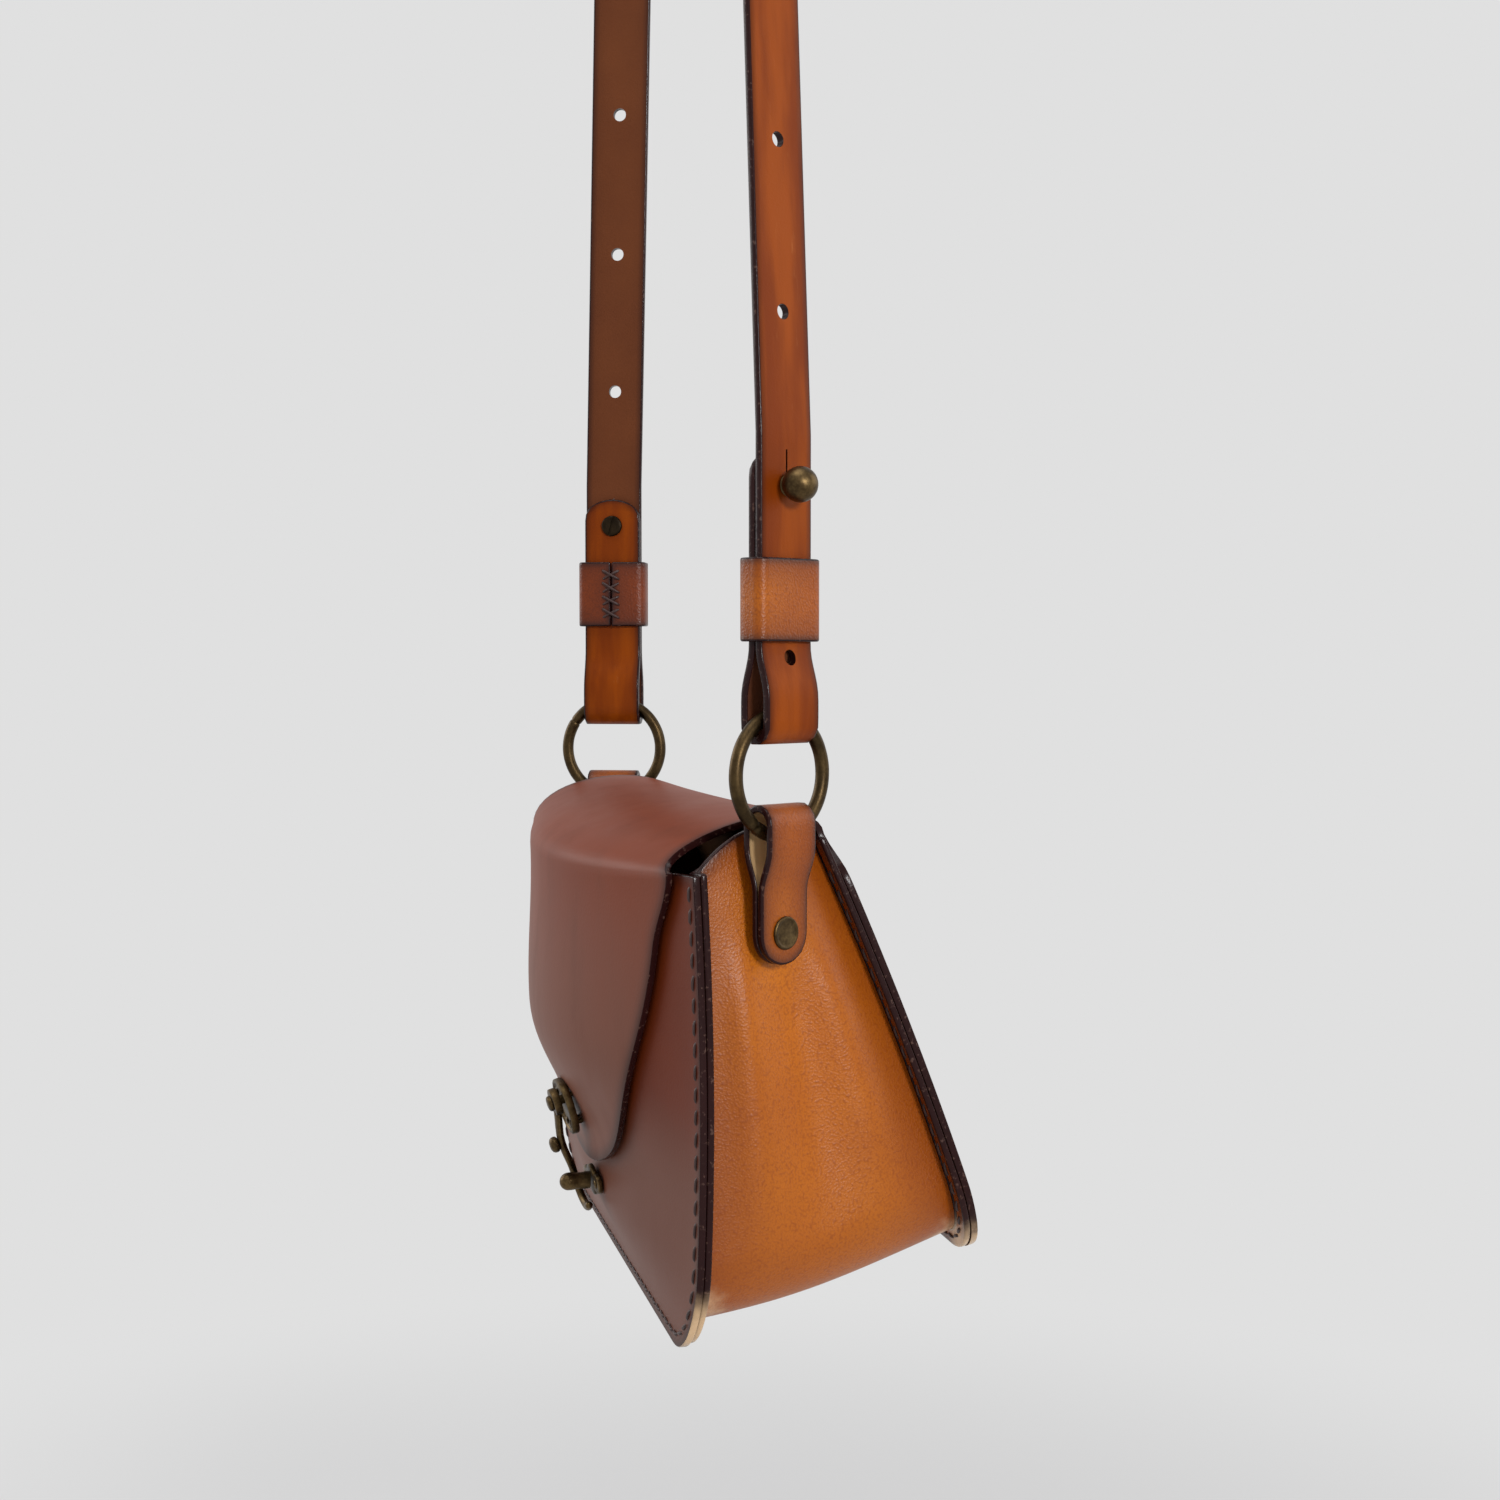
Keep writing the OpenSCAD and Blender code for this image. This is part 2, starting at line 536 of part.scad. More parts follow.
pivot_d = 3;
pin_gap = 0.06;
small_rivet_d = 1.6;
small_head_d = 2.8;
small_head_t = 0.6;
rivet_x = clasp_w * 0.27;
rivet_up = plate_up * 0.3;
rivet_low = plate_up - clasp_h * 0.8;
low_share = 0.5;
rivet_deep = leather + clasp_seat;
module each_plate_rivet()
    for (side = [-1, 1], p = [[rivet_x, rivet_up], [rivet_x * low_share, rivet_low]])
        translate([side * p[0], 0, p[1]]) rotate([quarter, 0, 0]) children();
module plate_rivet_cuts() on_flap() each_plate_rivet() translate([0, 0, -2 * rivet_deep])
    cylinder(d = small_rivet_d + bore_gap, h = 3 * rivet_deep);
module clasp_plate() color([0.42, 0.36, 0.25]) at_clasp() difference() {
    union() {
        plate_solid(plate_t) clasp_outline(0);
        plate_solid(plate_t + rim_h) difference() { clasp_outline(0); clasp_outline(rim_w); }
    }
    rotate([quarter, 0, 0]) translate([0, 0, -cut_over])
        cylinder(d = pivot_d + 2 * pin_gap, h = plate_t + 2 * cut_over);
    each_plate_rivet() translate([0, 0, -cut_over])
        cylinder(d = small_rivet_d + bore_gap, h = plate_t + 2 * cut_over);
}
module small_rivet(deep) {
    translate([0, 0, plate_t + bore_gap / 2])
        cylinder(d1 = small_head_d, d2 = small_head_d * 0.6, h = small_head_t);
    translate([0, 0, -deep]) cylinder(d = small_rivet_d, h = deep + plate_t + small_head_t / 2);
}
module plate_rivets() color([0.42, 0.36, 0.25]) at_clasp() each_plate_rivet() small_rivet(rivet_deep);
lever_t = 2.4;
lever_up = plate_t + rim_h + 0.5;
head_d = 5;
head_h = 1.4;
eye_r = 4.4;
post_d = 5.6;
hook_r = 5.4;
hook_wall = 2.7;
hook_drop = 0.8;
module lever_disc(r, drop, over) translate([0, over, -drop]) rotate([quarter, 0, 0])
    cylinder(r = r, h = lever_t + 2 * over);
module swing_lever() color([0.47, 0.40, 0.27]) at_clasp() translate([0, -lever_up, 0]) difference() {
    union() {
        lever_disc(eye_r, 0, 0);
        plate_solid(lever_t)
            polygon([[-eye_r * 0.98, 0], [eye_r * 0.9, 0],
                     [-hook_wall * 0.2, -lever_len + hook_r * 0.7],
                     [-hook_r - hook_wall * 0.7, -lever_len + hook_wall * 0.6]]);
        lever_disc(hook_r + hook_wall, lever_len + hook_drop, 0);
    }
    lever_disc(pivot_d / 2 + pin_gap, 0, cut_over);
    lever_disc(hook_r, lever_len + hook_drop, cut_over);
    translate([hook_r * 0.1, -lever_t - cut_over, -lever_len - hook_drop - hook_r * 0.92])
        cube([2 * hook_r, lever_t + 2 * cut_over, 3 * hook_r]);
}
module clasp_pivot() color([0.45, 0.38, 0.26]) at_clasp() rotate([quarter, 0, 0]) {
    translate([0, 0, bore_gap]) cylinder(d = pivot_d, h = lever_up + lever_t + 2 * bore_gap);
    translate([0, 0, lever_up + lever_t + bore_gap]) cylinder(d = head_d, h = head_h / 2);
    translate([0, 0, lever_up + lever_t + bore_gap + head_h / 2])
        cylinder(d1 = head_d, d2 = head_d * 0.7, h = head_h / 2);
}
thumb_d = 5.2;
thumb_len = 4;
thumb_drop = lever_len * 0.5;
thumb_x = -hook_r * 0.6;
module lever_knob() color([0.45, 0.38, 0.26]) at_clasp()
    translate([thumb_x, -lever_up - lever_t - bore_gap, -thumb_drop]) rotate([quarter, 0, 0]) {
        cylinder(d = thumb_d, h = thumb_len - thumb_d / 2);
        translate([0, 0, thumb_len - thumb_d / 2]) intersection() {
            sphere(d = thumb_d);
            cylinder(d = thumb_d, h = thumb_d);
        }
    }

// The post on the front panel points straight forward as the bag hangs
post_drop = pivot_drop + lever_len * cos(clasp_tilt);
post_plate_r = 5;
ear_r = 3.2;
ear_out = 6.4;
post_face = front_y(0, -post_drop) - seat_gap * 3;
module at_post() hang() translate([0, post_face, -post_drop]) children();
module each_post_rivet()
    for (side = [-1, 1]) translate([side * ear_out, 0, 0]) rotate([quarter, 0, 0]) children();
module post_rivet_cuts() translate([0, post_face, -post_drop]) each_post_rivet()
    translate([0, 0, -4 * leather]) cylinder(d = small_rivet_d + bore_gap, h = 5 * leather);
module post_plate() color([0.42, 0.36, 0.25]) at_post() difference() {
    plate_solid(plate_t) union() {
        circle(r = post_plate_r);
        for (side = [-1, 1]) translate([side * ear_out, 0]) circle(r = ear_r);
    }
    each_post_rivet() translate([0, 0, -cut_over])
        cylinder(d = small_rivet_d + bore_gap, h = plate_t + 2 * cut_over);
}
module post_rivets() color([0.42, 0.36, 0.25]) at_post() each_post_rivet() small_rivet(2 * leather);
post_len = 9.5;
post_lift = post_d * sin(lean) / 2;
module clasp_post() color([0.47, 0.40, 0.27]) at_post() translate([0, -plate_t - bore_gap, 0])
    rotate([quarter - lean, 0, 0]) {
        translate([0, 0, post_lift]) cylinder(d = post_d, h = post_len - post_d / 2);
        translate([0, 0, post_len - post_d / 2 + post_lift]) sphere(d = post_d);
    }

front_panel();
back_panel();
flap();
gusset();
front_stitching();
back_stitching();
ring_tab_near();
ring_tab_far();
tab_rivet_near();
tab_rivet_far();
ring_near();
ring_far();
shoulder_strap();
keeper_near();
keeper_far();
keeper_stitches_near();
keeper_stitches_far();
stud_near();
stud_far();
stud_screw_near();
stud_screw_far();
clasp_plate();
clasp_pivot();
swing_lever();
lever_knob();
post_plate();
clasp_post();
plate_rivets();
post_rivets();
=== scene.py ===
# %% [markdown]
# # A small leather shoulder bag
# The bag hangs from the top of its strap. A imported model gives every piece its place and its
# joints, and this lesson gives the pieces their leather, thread and brass. Each step says what
# the piece is on the real bag, how it could be made, and why it is made this way here.

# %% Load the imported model
import bisect, math, random
import bpy
from mathutils import Matrix, Vector, kdtree, noise


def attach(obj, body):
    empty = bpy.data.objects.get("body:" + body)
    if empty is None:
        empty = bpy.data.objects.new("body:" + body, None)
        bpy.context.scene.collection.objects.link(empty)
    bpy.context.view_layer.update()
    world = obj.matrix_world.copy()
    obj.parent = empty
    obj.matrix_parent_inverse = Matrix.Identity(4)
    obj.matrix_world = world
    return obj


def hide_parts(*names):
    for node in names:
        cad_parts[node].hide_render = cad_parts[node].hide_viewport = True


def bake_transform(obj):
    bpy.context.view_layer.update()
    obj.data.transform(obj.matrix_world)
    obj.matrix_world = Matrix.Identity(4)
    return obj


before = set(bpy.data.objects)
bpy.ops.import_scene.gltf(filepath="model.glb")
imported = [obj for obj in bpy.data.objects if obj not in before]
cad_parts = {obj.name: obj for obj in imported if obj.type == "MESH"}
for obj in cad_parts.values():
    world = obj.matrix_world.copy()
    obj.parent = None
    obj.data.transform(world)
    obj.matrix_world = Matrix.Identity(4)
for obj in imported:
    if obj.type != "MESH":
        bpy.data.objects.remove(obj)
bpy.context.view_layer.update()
MM = 0.001
random.seed(7)

# %% [markdown]
# ## The camera
# The photograph was taken from close by, nearly level with the rings and almost end on, so the
# near ring is a third larger than the far one. A camera could be turned until it looks right.
# The two rings give it exactly instead: their sizes and their distance fix lens and place.

# %% Place the camera
CAMERA_AT = Vector((0.63470, -0.18768, -0.46786))
LOOK_AZIMUTH, LOOK_DOWN = 71.754, 2.514       # degrees
LENS, SENSOR = 49.609, 36                     # millimetres
camera_data = bpy.data.cameras.new("camera")
camera_data.lens, camera_data.sensor_width = LENS, SENSOR
camera = bpy.data.objects.new("camera", camera_data)
bpy.context.collection.objects.link(camera)
camera.location = CAMERA_AT
camera.rotation_euler = (math.radians(90 - LOOK_DOWN), 0, math.radians(LOOK_AZIMUTH))
bpy.context.scene.camera = camera
print("camera at", [round(c, 3) for c in CAMERA_AT])

# %% [markdown]
# ## Materials from sockets
# A material is a graph of nodes. Linking the nodes one by one hides the idea, so a small class
# wraps a socket and lets arithmetic be written as arithmetic: `grain * 0.3 + 0.5` makes a Math
# node for each sign.

# %% A socket that can be added and multiplied
class Socket:
    def __init__(self, nodes, out):
        self.nodes, self.out = nodes, out

    def _math(self, operation, a, b):
        return self.nodes.node("ShaderNodeMath", {0: a, 1: b}, operation=operation)

    def __add__(self, other): return self._math("ADD", self, other)
    def __radd__(self, other): return self._math("ADD", other, self)
    def __sub__(self, other): return self._math("SUBTRACT", self, other)
    def __rsub__(self, other): return self._math("SUBTRACT", other, self)
    def __mul__(self, other): return self._math("MULTIPLY", self, other)
    def __rmul__(self, other): return self._math("MULTIPLY", other, self)
    def largest(self, other): return self._math("MAXIMUM", self, other)

    def between(self, low, high):
        """0 below low and 1 above high, smooth in between."""
        return self.nodes.node("ShaderNodeMapRange", {0: self, 1: low, 2: high, 3: 0.0, 4: 1.0},
                               interpolation_type="SMOOTHSTEP")


print("a socket can be added, subtracted, multiplied and mapped")

# %% [markdown]
# ## One way to make any node
# One method makes every node from its type, its settings and its inputs. The settings come
# first, because some of them change which sockets a node has. A float, a colour and a link all
# go through the same door, so a finish never has to say which one it gives.

# %% Nodes
class Nodes:
    """The nodes of a material or of the world."""
    def __init__(self, tree):
        self.tree = tree

    def put(self, socket, value):
        if isinstance(value, Socket):
            self.tree.links.new(value.out, socket)
        elif isinstance(value, tuple) and len(value) == 3 and socket.type == "RGBA":
            socket.default_value = (*value, 1)
        else:
            socket.default_value = value

    def node(self, kind, inputs=None, output=0, **settings):
        made = self.tree.nodes.new(kind)
        for key, value in settings.items():
            setattr(made, key, value)
        for key, value in (inputs or {}).items():
            self.put(made.inputs[key], value)
        return Socket(self, made.outputs[output])

    def blend(self, share, a, b):
        """Colour a where share is 0 and colour b where it is 1."""
        return self.node("ShaderNodeMix", {0: share, 6: a, 7: b}, output=2, data_type="RGBA")


print("any node can be made by its type")

# %% [markdown]
# ## Paints
# A Paint is a new material whose patterns all read the object's own coordinates. They could read
# a UV map instead, but then every seam of the map would have to be hidden.

# %% A new material and its patterns
class Paint(Nodes):
    """A new material with its Principled shader, and the nodes that feed it."""
    def __init__(self, name, **constants):
        self.material = bpy.data.materials.new(name)
        self.material.use_nodes = True
        super().__init__(self.material.node_tree)
        self.shader = self.tree.nodes["Principled BSDF"]
        self.shade(**constants)

    def shade(self, **inputs):
        for key, value in inputs.items():
            self.put(self.shader.inputs[key.replace("_", " ")], value)
        return self.material

    def place(self):
        return self.node("ShaderNodeTexCoord", output="Object")

    def axis(self, name):
        return self.node("ShaderNodeSeparateXYZ", {0: self.place()}, output=name)

    def stretched(self, *scale):
        return self.node("ShaderNodeMapping", {0: self.place(), 3: scale})

    def vector(self, operation, a, b=(0.0, 0.0, 0.0), output="Vector"):
        return self.node("ShaderNodeVectorMath", {0: a, 1: b}, output, operation=operation)

    def noise(self, scale, detail=3.0, rough=0.55, at=None):
        return self.node("ShaderNodeTexNoise", {"Vector": at or self.place(), "Scale": scale,
                                                "Detail": detail, "Roughness": rough})

    def cells(self, scale):
        return self.node("ShaderNodeTexVoronoi", {"Vector": self.place(), "Scale": scale},
                         feature="SMOOTH_F1")

    def attribute(self, name):
        return self.node("ShaderNodeAttribute", output="Fac", attribute_name=name)

    def bump(self, height, strength, distance):
        return self.node("ShaderNodeBump", {"Height": height, "Strength": strength,
                                            "Distance": distance * MM})


print("patterns: noise, cells, bump")

# %% [markdown]
# ## Colours
# A colour is judged on a screen, from 0 to 255 for red, green and blue. Light adds up on
# another scale, so each number is turned into the linear one that the shader works with.

# %% From screen colour to linear colour
def srgb(red, green, blue):
    """A colour read as 0 to 255, as the linear colour that the shader takes."""
    def linear(c):
        c = c / 255
        return c / 12.92 if c <= 0.04045 else ((c + 0.055) / 1.055) ** 2.4
    return tuple(linear(c) for c in (red, green, blue))


print("a mid grey is", round(srgb(128, 128, 128)[0], 3))

# %% [markdown]
# ## Leather finishes
# All the leather is vegetable tanned. Every face is darker close to its cut edge, and at
# the near foot the stain has rubbed off two corners. Photographs of leather could be wrapped
# on, but noise in the object's own space has no seams. A noise's scale is the number of its
# patterns in a metre: 20 makes clouds of 5 cm and 1500 a grain of less than a millimetre.

# %% Dark rims and worn corners
BURNISH, BLEACHED = srgb(26, 9, 9), srgb(228, 192, 150)
WORN_CORNERS = [((0.0965, -0.0270, -0.6550), 0.014), ((0.079, 0.0640, -0.6440), 0.013)]


def dark_rim(paint, colour, share):
    """Darkens the rim, which each sheet of leather keeps as a value on its points."""
    return paint.blend(paint.attribute("rim_near") * share, colour, BURNISH)


def bleach(paint, colour, spots):
    """Fades the colour round each spot, with a ragged outline."""
    for spot, reach in spots:
        away = paint.vector("DISTANCE", paint.place(), spot, "Value")
        worn = (away + paint.noise(170.0, 5.0) * 0.012 - 0.006).between(reach * 1.3, reach * 0.2)
        colour = paint.blend(worn * 0.8, colour, BLEACHED)
    return colour


print("worn corners:", len(WORN_CORNERS))

# %% [markdown]
# ### Pebbled tan
# The gusset, ring tabs and keepers are orange tan with a pebbled grain, and dark stain sits in
# its pores. Smooth Voronoi cells give the pebbles. The same cells darken the pores, so the
# colour and the relief fall together.

# %% Pebbled tan leather
PORE = 1.0 / (0.62 * MM)


def tan_leather(name, light, dark, low, fade_spots=()):
    paint = Paint(name, Specular_IOR_Level=0.3)
    warp = paint.noise(260.0, 4.0)
    grain = paint.cells(PORE)
    fine = paint.noise(2600.0, 3.0)
    cloud = paint.noise(20.0, 4.0).between(0.32, 0.72)
    colour = paint.blend(cloud, light, dark)
    colour = paint.blend(grain.between(0.3, 0.8) * 0.5, colour, low)
    colour = paint.blend(paint.axis("Z").between(-0.56, -0.65) * 0.45, colour, low)
    colour = paint.blend(paint.attribute("rim_wide") * 0.7, colour, low)
    colour = dark_rim(paint, colour, 0.85)
    return paint.shade(Base_Color=bleach(paint, colour, fade_spots),
                       Roughness=0.33 + warp * 0.14 + paint.attribute("rim_near") * -0.04,
                       Normal=paint.bump(grain + warp * 0.12 + fine * 0.2, 0.7, 0.16))


GUSSET_TAN = tan_leather("gusset_tan", srgb(190, 105, 6), srgb(170, 88, 5), srgb(122, 52, 6),
                         WORN_CORNERS)
STRAP_TAN = tan_leather("strap_tan", srgb(170, 90, 8), srgb(150, 72, 5), srgb(112, 48, 4))
# painted shade: a darker copy of the strap tan, for the far keeper, which lies in shade
TAN_PAINTED_SHADE = tan_leather("dark_tan", srgb(126, 52, 6), srgb(104, 41, 4), srgb(80, 29, 4))
print("tan leathers:", [m.name for m in (GUSSET_TAN, STRAP_TAN, TAN_PAINTED_SHADE)])

# %% [markdown]
# ### Cut edges and flesh sides
# Cut edges are dyed aubergine and rubbed with wax until they shine, and pale specks on them are
# dust and painted glints of the wax. The flesh side is left rough and fibrous.

# %% Burnished edge, flesh side
def burnished_edge(fade_spots):
    paint = Paint("burnished_edge", Specular_IOR_Level=0.14)
    # pale specks: dust, and painted glints on the waxed edge
    dust_and_glint = paint.noise(700.0, 5.0).between(0.58, 0.72)
    colour = paint.blend(paint.noise(60.0), BURNISH, srgb(44, 18, 17))
    colour = paint.blend(dust_and_glint * 0.16, colour, srgb(170, 130, 112))
    return paint.shade(Base_Color=bleach(paint, colour, fade_spots), Roughness=0.2 + dust_and_glint * 0.3,
                       Normal=paint.bump(paint.noise(500.0, 4.0), 0.25, 0.25))


def flesh_leather(name, light, dark):
    paint = Paint(name, Specular_IOR_Level=0.2)
    fibre = paint.noise(900.0, 6.0, 0.7)
    colour = dark_rim(paint, paint.blend(paint.noise(45.0, 3.0), light, dark), 0.8)
    return paint.shade(Base_Color=colour, Roughness=0.72 + fibre * 0.15,
                       Normal=paint.bump(fibre, 0.45, 0.3))


EDGE = burnished_edge(WORN_CORNERS)
FLESH = flesh_leather("bag_flesh", srgb(112, 74, 44), srgb(88, 56, 32))
TAB_FLESH = flesh_leather("tab_flesh", srgb(230, 196, 146), srgb(206, 166, 116))
STRAP_FLESH = flesh_leather("strap_flesh", srgb(106, 56, 26), srgb(86, 42, 18))
print("edge and flesh sides:", [m.name for m in (EDGE, FLESH, TAB_FLESH, STRAP_FLESH)])

# %% [markdown]
# ### Stained brown and smooth strap leather
# The flap, the back and the front panel are stained dark brown, the panel darker and redder.
# Lower down, a mauve grey sheen is painted into their colour: on the flap and the back from part
# way down, on the panel below the flap's tip. Height alone tells the finishes where the painted
# sheen starts. The strap is smooth tan with streaks along its length, which come from noise
# stretched that way.

# %% Stained and smooth leathers
def bloomed_leather():
    paint = Paint("bloomed_leather", Specular_IOR_Level=0.16)
    streak = paint.noise(70.0, 5.0, 0.6, at=paint.stretched(1.0, 1.0, 0.35))
    # painted sheen: from part way down the flap and the back, the colour turns mauve grey
    painted_sheen = (paint.axis("Z") * -1.0 + streak * 0.03).between(0.53, 0.60)
    colour = paint.blend(paint.noise(22.0), srgb(124, 50, 10), srgb(104, 38, 7))
    colour = paint.blend(painted_sheen * 0.7, colour, srgb(112, 74, 60))
    colour = paint.blend(streak.between(0.48, 0.78) * 0.22, colour, srgb(78, 34, 18))
    fine, pores = paint.noise(1500.0, 3.0), paint.cells(1.0 / (0.8 * MM))
    return paint.shade(Base_Color=dark_rim(paint, colour, 0.75), Roughness=0.4 + streak * 0.14,
                       Normal=paint.bump(fine * 0.4 + pores * 0.4, 0.22, 0.2))


def panel_leather():
    paint = Paint("panel_leather", Specular_IOR_Level=0.16)
    cloud = paint.noise(30.0, 4.0)
    # painted sheen: below the flap's tip the panel's colour turns the same mauve grey
    painted_sheen_below_flap = (paint.axis("Z") * -1.0 + cloud * 0.02).between(0.600, 0.628)
    colour = paint.blend(cloud, srgb(112, 44, 12), srgb(90, 32, 8))
    colour = paint.blend(painted_sheen_below_flap * 0.7, colour, srgb(100, 60, 44))
    return paint.shade(Base_Color=dark_rim(paint, colour, 0.8), Roughness=0.42 + cloud * 0.1,
                       Normal=paint.bump(paint.noise(1500.0, 3.0), 0.2, 0.2))


def strap_leather():
    paint = Paint("strap_grain", Specular_IOR_Level=0.1)
    lengthwise = paint.stretched(1.0, 1.0, 0.12)
    streak = paint.noise(110.0, 4.0, at=lengthwise)
    colour = paint.blend(streak.between(0.35, 0.65), srgb(138, 62, 3), srgb(114, 46, 2))
    scuff = paint.noise(260.0, 6.0, 0.7, at=lengthwise).between(0.62, 0.74)
    colour = paint.blend(scuff * 0.15, colour, srgb(206, 146, 92))
    return paint.shade(Base_Color=dark_rim(paint, colour, 0.8), Roughness=0.34 + streak * 0.18,
                       Normal=paint.bump(paint.noise(1700.0, 4.0) + streak * 0.6, 0.22, 0.2))


SHEEN_PAINTED_BROWN, PANEL, STRAP_GRAIN = bloomed_leather(), panel_leather(), strap_leather()
print("stained and smooth:", [m.name for m in (SHEEN_PAINTED_BROWN, PANEL, STRAP_GRAIN)])

# %% [markdown]
# ## Brass and thread
# The rings, studs, rivets and clasp are antiqued brass: dark patina, rubbed bright on the
# crowns. The thread is waxed, nearly black, with a twist that shows as a fine ripple. Both are
# made from noise, as the leather is.

# %% Antique brass, waxed thread
def antique_brass(name, dark, bright, rubbed=0.5):
    paint = Paint(name, Metallic=1.0)
    patina = paint.noise(150.0, 5.0, 0.6)
    fine = paint.noise(1400.0, 3.0)
    share = (patina * 0.8 + fine * 0.3).between(0.38, 0.82) * rubbed
    return paint.shade(Base_Color=paint.blend(share, dark, bright), Roughness=0.3 + patina * 0.22,
                       Normal=paint.bump(patina + fine * 0.3, 0.12, 0.2))


def waxed_thread():
    paint = Paint("waxed_thread", Specular_IOR_Level=0.45, Roughness=0.5)
    twist = paint.noise(1800.0, 2.0)
    return paint.shade(Base_Color=paint.blend(twist, srgb(34, 16, 14), srgb(62, 34, 28)),
                       Normal=paint.bump(twist, 0.4, 0.2))


BRASS = antique_brass("antique_brass", srgb(58, 45, 29), srgb(142, 118, 78))
RING_BRASS = antique_brass("ring_brass", srgb(52, 41, 27), srgb(112, 91, 58), 0.4)
DARK_BRASS = antique_brass("dark_brass", srgb(30, 24, 18), srgb(70, 56, 38), 0.4)
THREAD = waxed_thread()
print("metals and thread:", [m.name for m in (BRASS, RING_BRASS, DARK_BRASS, THREAD)])

# %% [markdown]
# ## The bag's measures
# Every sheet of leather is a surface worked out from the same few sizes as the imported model, so
# that each piece lies where its solid does. Only the flap is a little wider than its solid, as
# the photograph shows it. The numbers are millimetres on the bag's own axes, whose zero is the
# middle of the line between the two ring centres.

# %% Sizes of the bag, in millimetres
LEATHER, SEAT = 2.0, 0.25                     # thickness, and the play between two layers
PANEL_DROP, PANEL_H, CORNER_R = 22.0, 132.0, 25.0
PANEL_FOOT = PANEL_DROP + PANEL_H
TOP_HALF = {"front": 96.0, "back": 80.0}
FOOT_HALF = {"front": 103.0, "back": 91.0}
TOP_OUT = {"front": 31.0, "back": 16.5}
FOOT_OUT = {"front": 50.0, "back": 46.0}
FRONT_SWELL, BACK_SWELL, SWELL_POWER = 20.5, 5.0, 1.5
SWELL_FROM, SWELL_SHELF, SWELL_END, SHELF, TOP_SWELL = 0.36, 0.70, 0.78, 0.36, 0.82
FOOT_TWIST, LEAN, HANG_H = 0.08, math.radians(10.5), 500.0
FLAP_FRONT, FLAP_HINGE, FLAP_SHOULDER, FLAP_HALF, FLAP_GAP = 96.0, 73.0, 86.0, 79.5, 1.4
FLAP_RISE, FAR_RISE, NEAR_RISE = 13.0, 20.0, 5.5
SEAM_W, STITCH_IN, STITCH_PITCH, THREAD_D = 6.0, 3.4, 6.0, 1.0


def mix(a, b, s): return a + (b - a) * s
def clamp(s): return min(1.0, max(0.0, s))
def ease(s): return (1 - math.cos(math.pi * clamp(s))) / 2


print("a panel is", PANEL_H, "mm high and", 2 * FOOT_HALF["front"], "mm wide at its foot")

# %% [markdown]
# ## Where the panels lie
# The panels are flat along their seams and swell between them. The hanging bag leans back a
# little, and its foot is slightly twisted, as soft leather hangs. A surface could be sculpted
# to this, but a formula gives every piece that lies on it the same answer.

# %% Surfaces of front and back
def depth_share(z): return (-PANEL_DROP - z) / PANEL_H
def foot_shift(x, z): return -FOOT_TWIST * x * max(0.0, depth_share(z)) ** 2


def width_share(side, x, z):
    """0 in the panel's middle and 1 on its side."""
    return min(1.0, abs(x) / mix(TOP_HALF[side], FOOT_HALF[side], clamp(depth_share(z))))


def front_y(x, z):
    u = depth_share(z)
    fall = (mix(TOP_SWELL, 1, ease(u / SWELL_FROM))
            - (1 - SHELF) * ease((u - SWELL_FROM) / (SWELL_SHELF - SWELL_FROM))
            - SHELF * ease((u - SWELL_END) / (1 - SWELL_END)))
    swell = FRONT_SWELL * (1 - width_share("front", x, z) ** 2) ** SWELL_POWER * fall
    return foot_shift(x, z) - mix(TOP_OUT["front"], FOOT_OUT["front"], u) - swell


def back_y(x, z):
    u = clamp(depth_share(z))
    swell = BACK_SWELL * (1 - width_share("back", x, z) ** 2) * math.sin(math.pi * u)
    return foot_shift(x, z) + mix(TOP_OUT["back"], FOOT_OUT["back"], u) + swell


def hang(x, y, z):
    """A point of the bag, in metres in the model's frame."""
    return Vector((x, y * math.cos(LEAN) - z * math.sin(LEAN),
                   y * math.sin(LEAN) + z * math.cos(LEAN) - HANG_H)) * MM


print("the front swells to y =", round(front_y(0, -PANEL_DROP - PANEL_H / 3), 1), "mm")

# %% [markdown]
# ## The panels' outline
# Both panels have straight sides, round lower corners and a straight foot. One number runs
# along half of that outline, so the gusset and the stitches can follow it too.

# %% Outline of a panel
SIDE, CORNER, BOTTOM = 8.0, 5.0, 5.0          # shares of the outline, from its top to its middle
HALF_WAY = SIDE + CORNER + BOTTOM


def outline(side, k, inset):
    """x, z and the outward direction of the panel's outline, k running from its top corner to
    the middle of its foot."""
    foot, r = FOOT_HALF[side], CORNER_R - inset
    if k <= SIDE:
        return (mix(TOP_HALF[side], foot, k / SIDE) - inset,
                -mix(PANEL_DROP, PANEL_FOOT - CORNER_R, k / SIDE), 1, 0)
    if k <= SIDE + CORNER:
        a = math.pi / 2 * (k - SIDE) / CORNER
        return (foot - CORNER_R + r * math.cos(a), -PANEL_FOOT + CORNER_R - r * math.sin(a),
                math.cos(a), -math.sin(a))
    return (foot - CORNER_R) * (HALF_WAY - k) / BOTTOM, -PANEL_FOOT + inset, 0, -1


foot_corner = outline("front", SIDE + CORNER, 0)
print("the front's foot meets the near corner at",
      [round(c, 3) for c in hang(foot_corner[0], front_y(*foot_corner[:2]), foot_corner[1])])

# %% [markdown]
# ## Working on a mesh in code
# In the window a piece is chosen, edited and given modifiers by hand. The same operators work
# in a script, as long as it first says which piece and which faces they act on.

# %% Helpers: choose, edit, modify, dress
def only(obj):
    bpy.ops.object.select_all(action="DESELECT")
    obj.select_set(True)
    bpy.context.view_layer.objects.active = obj


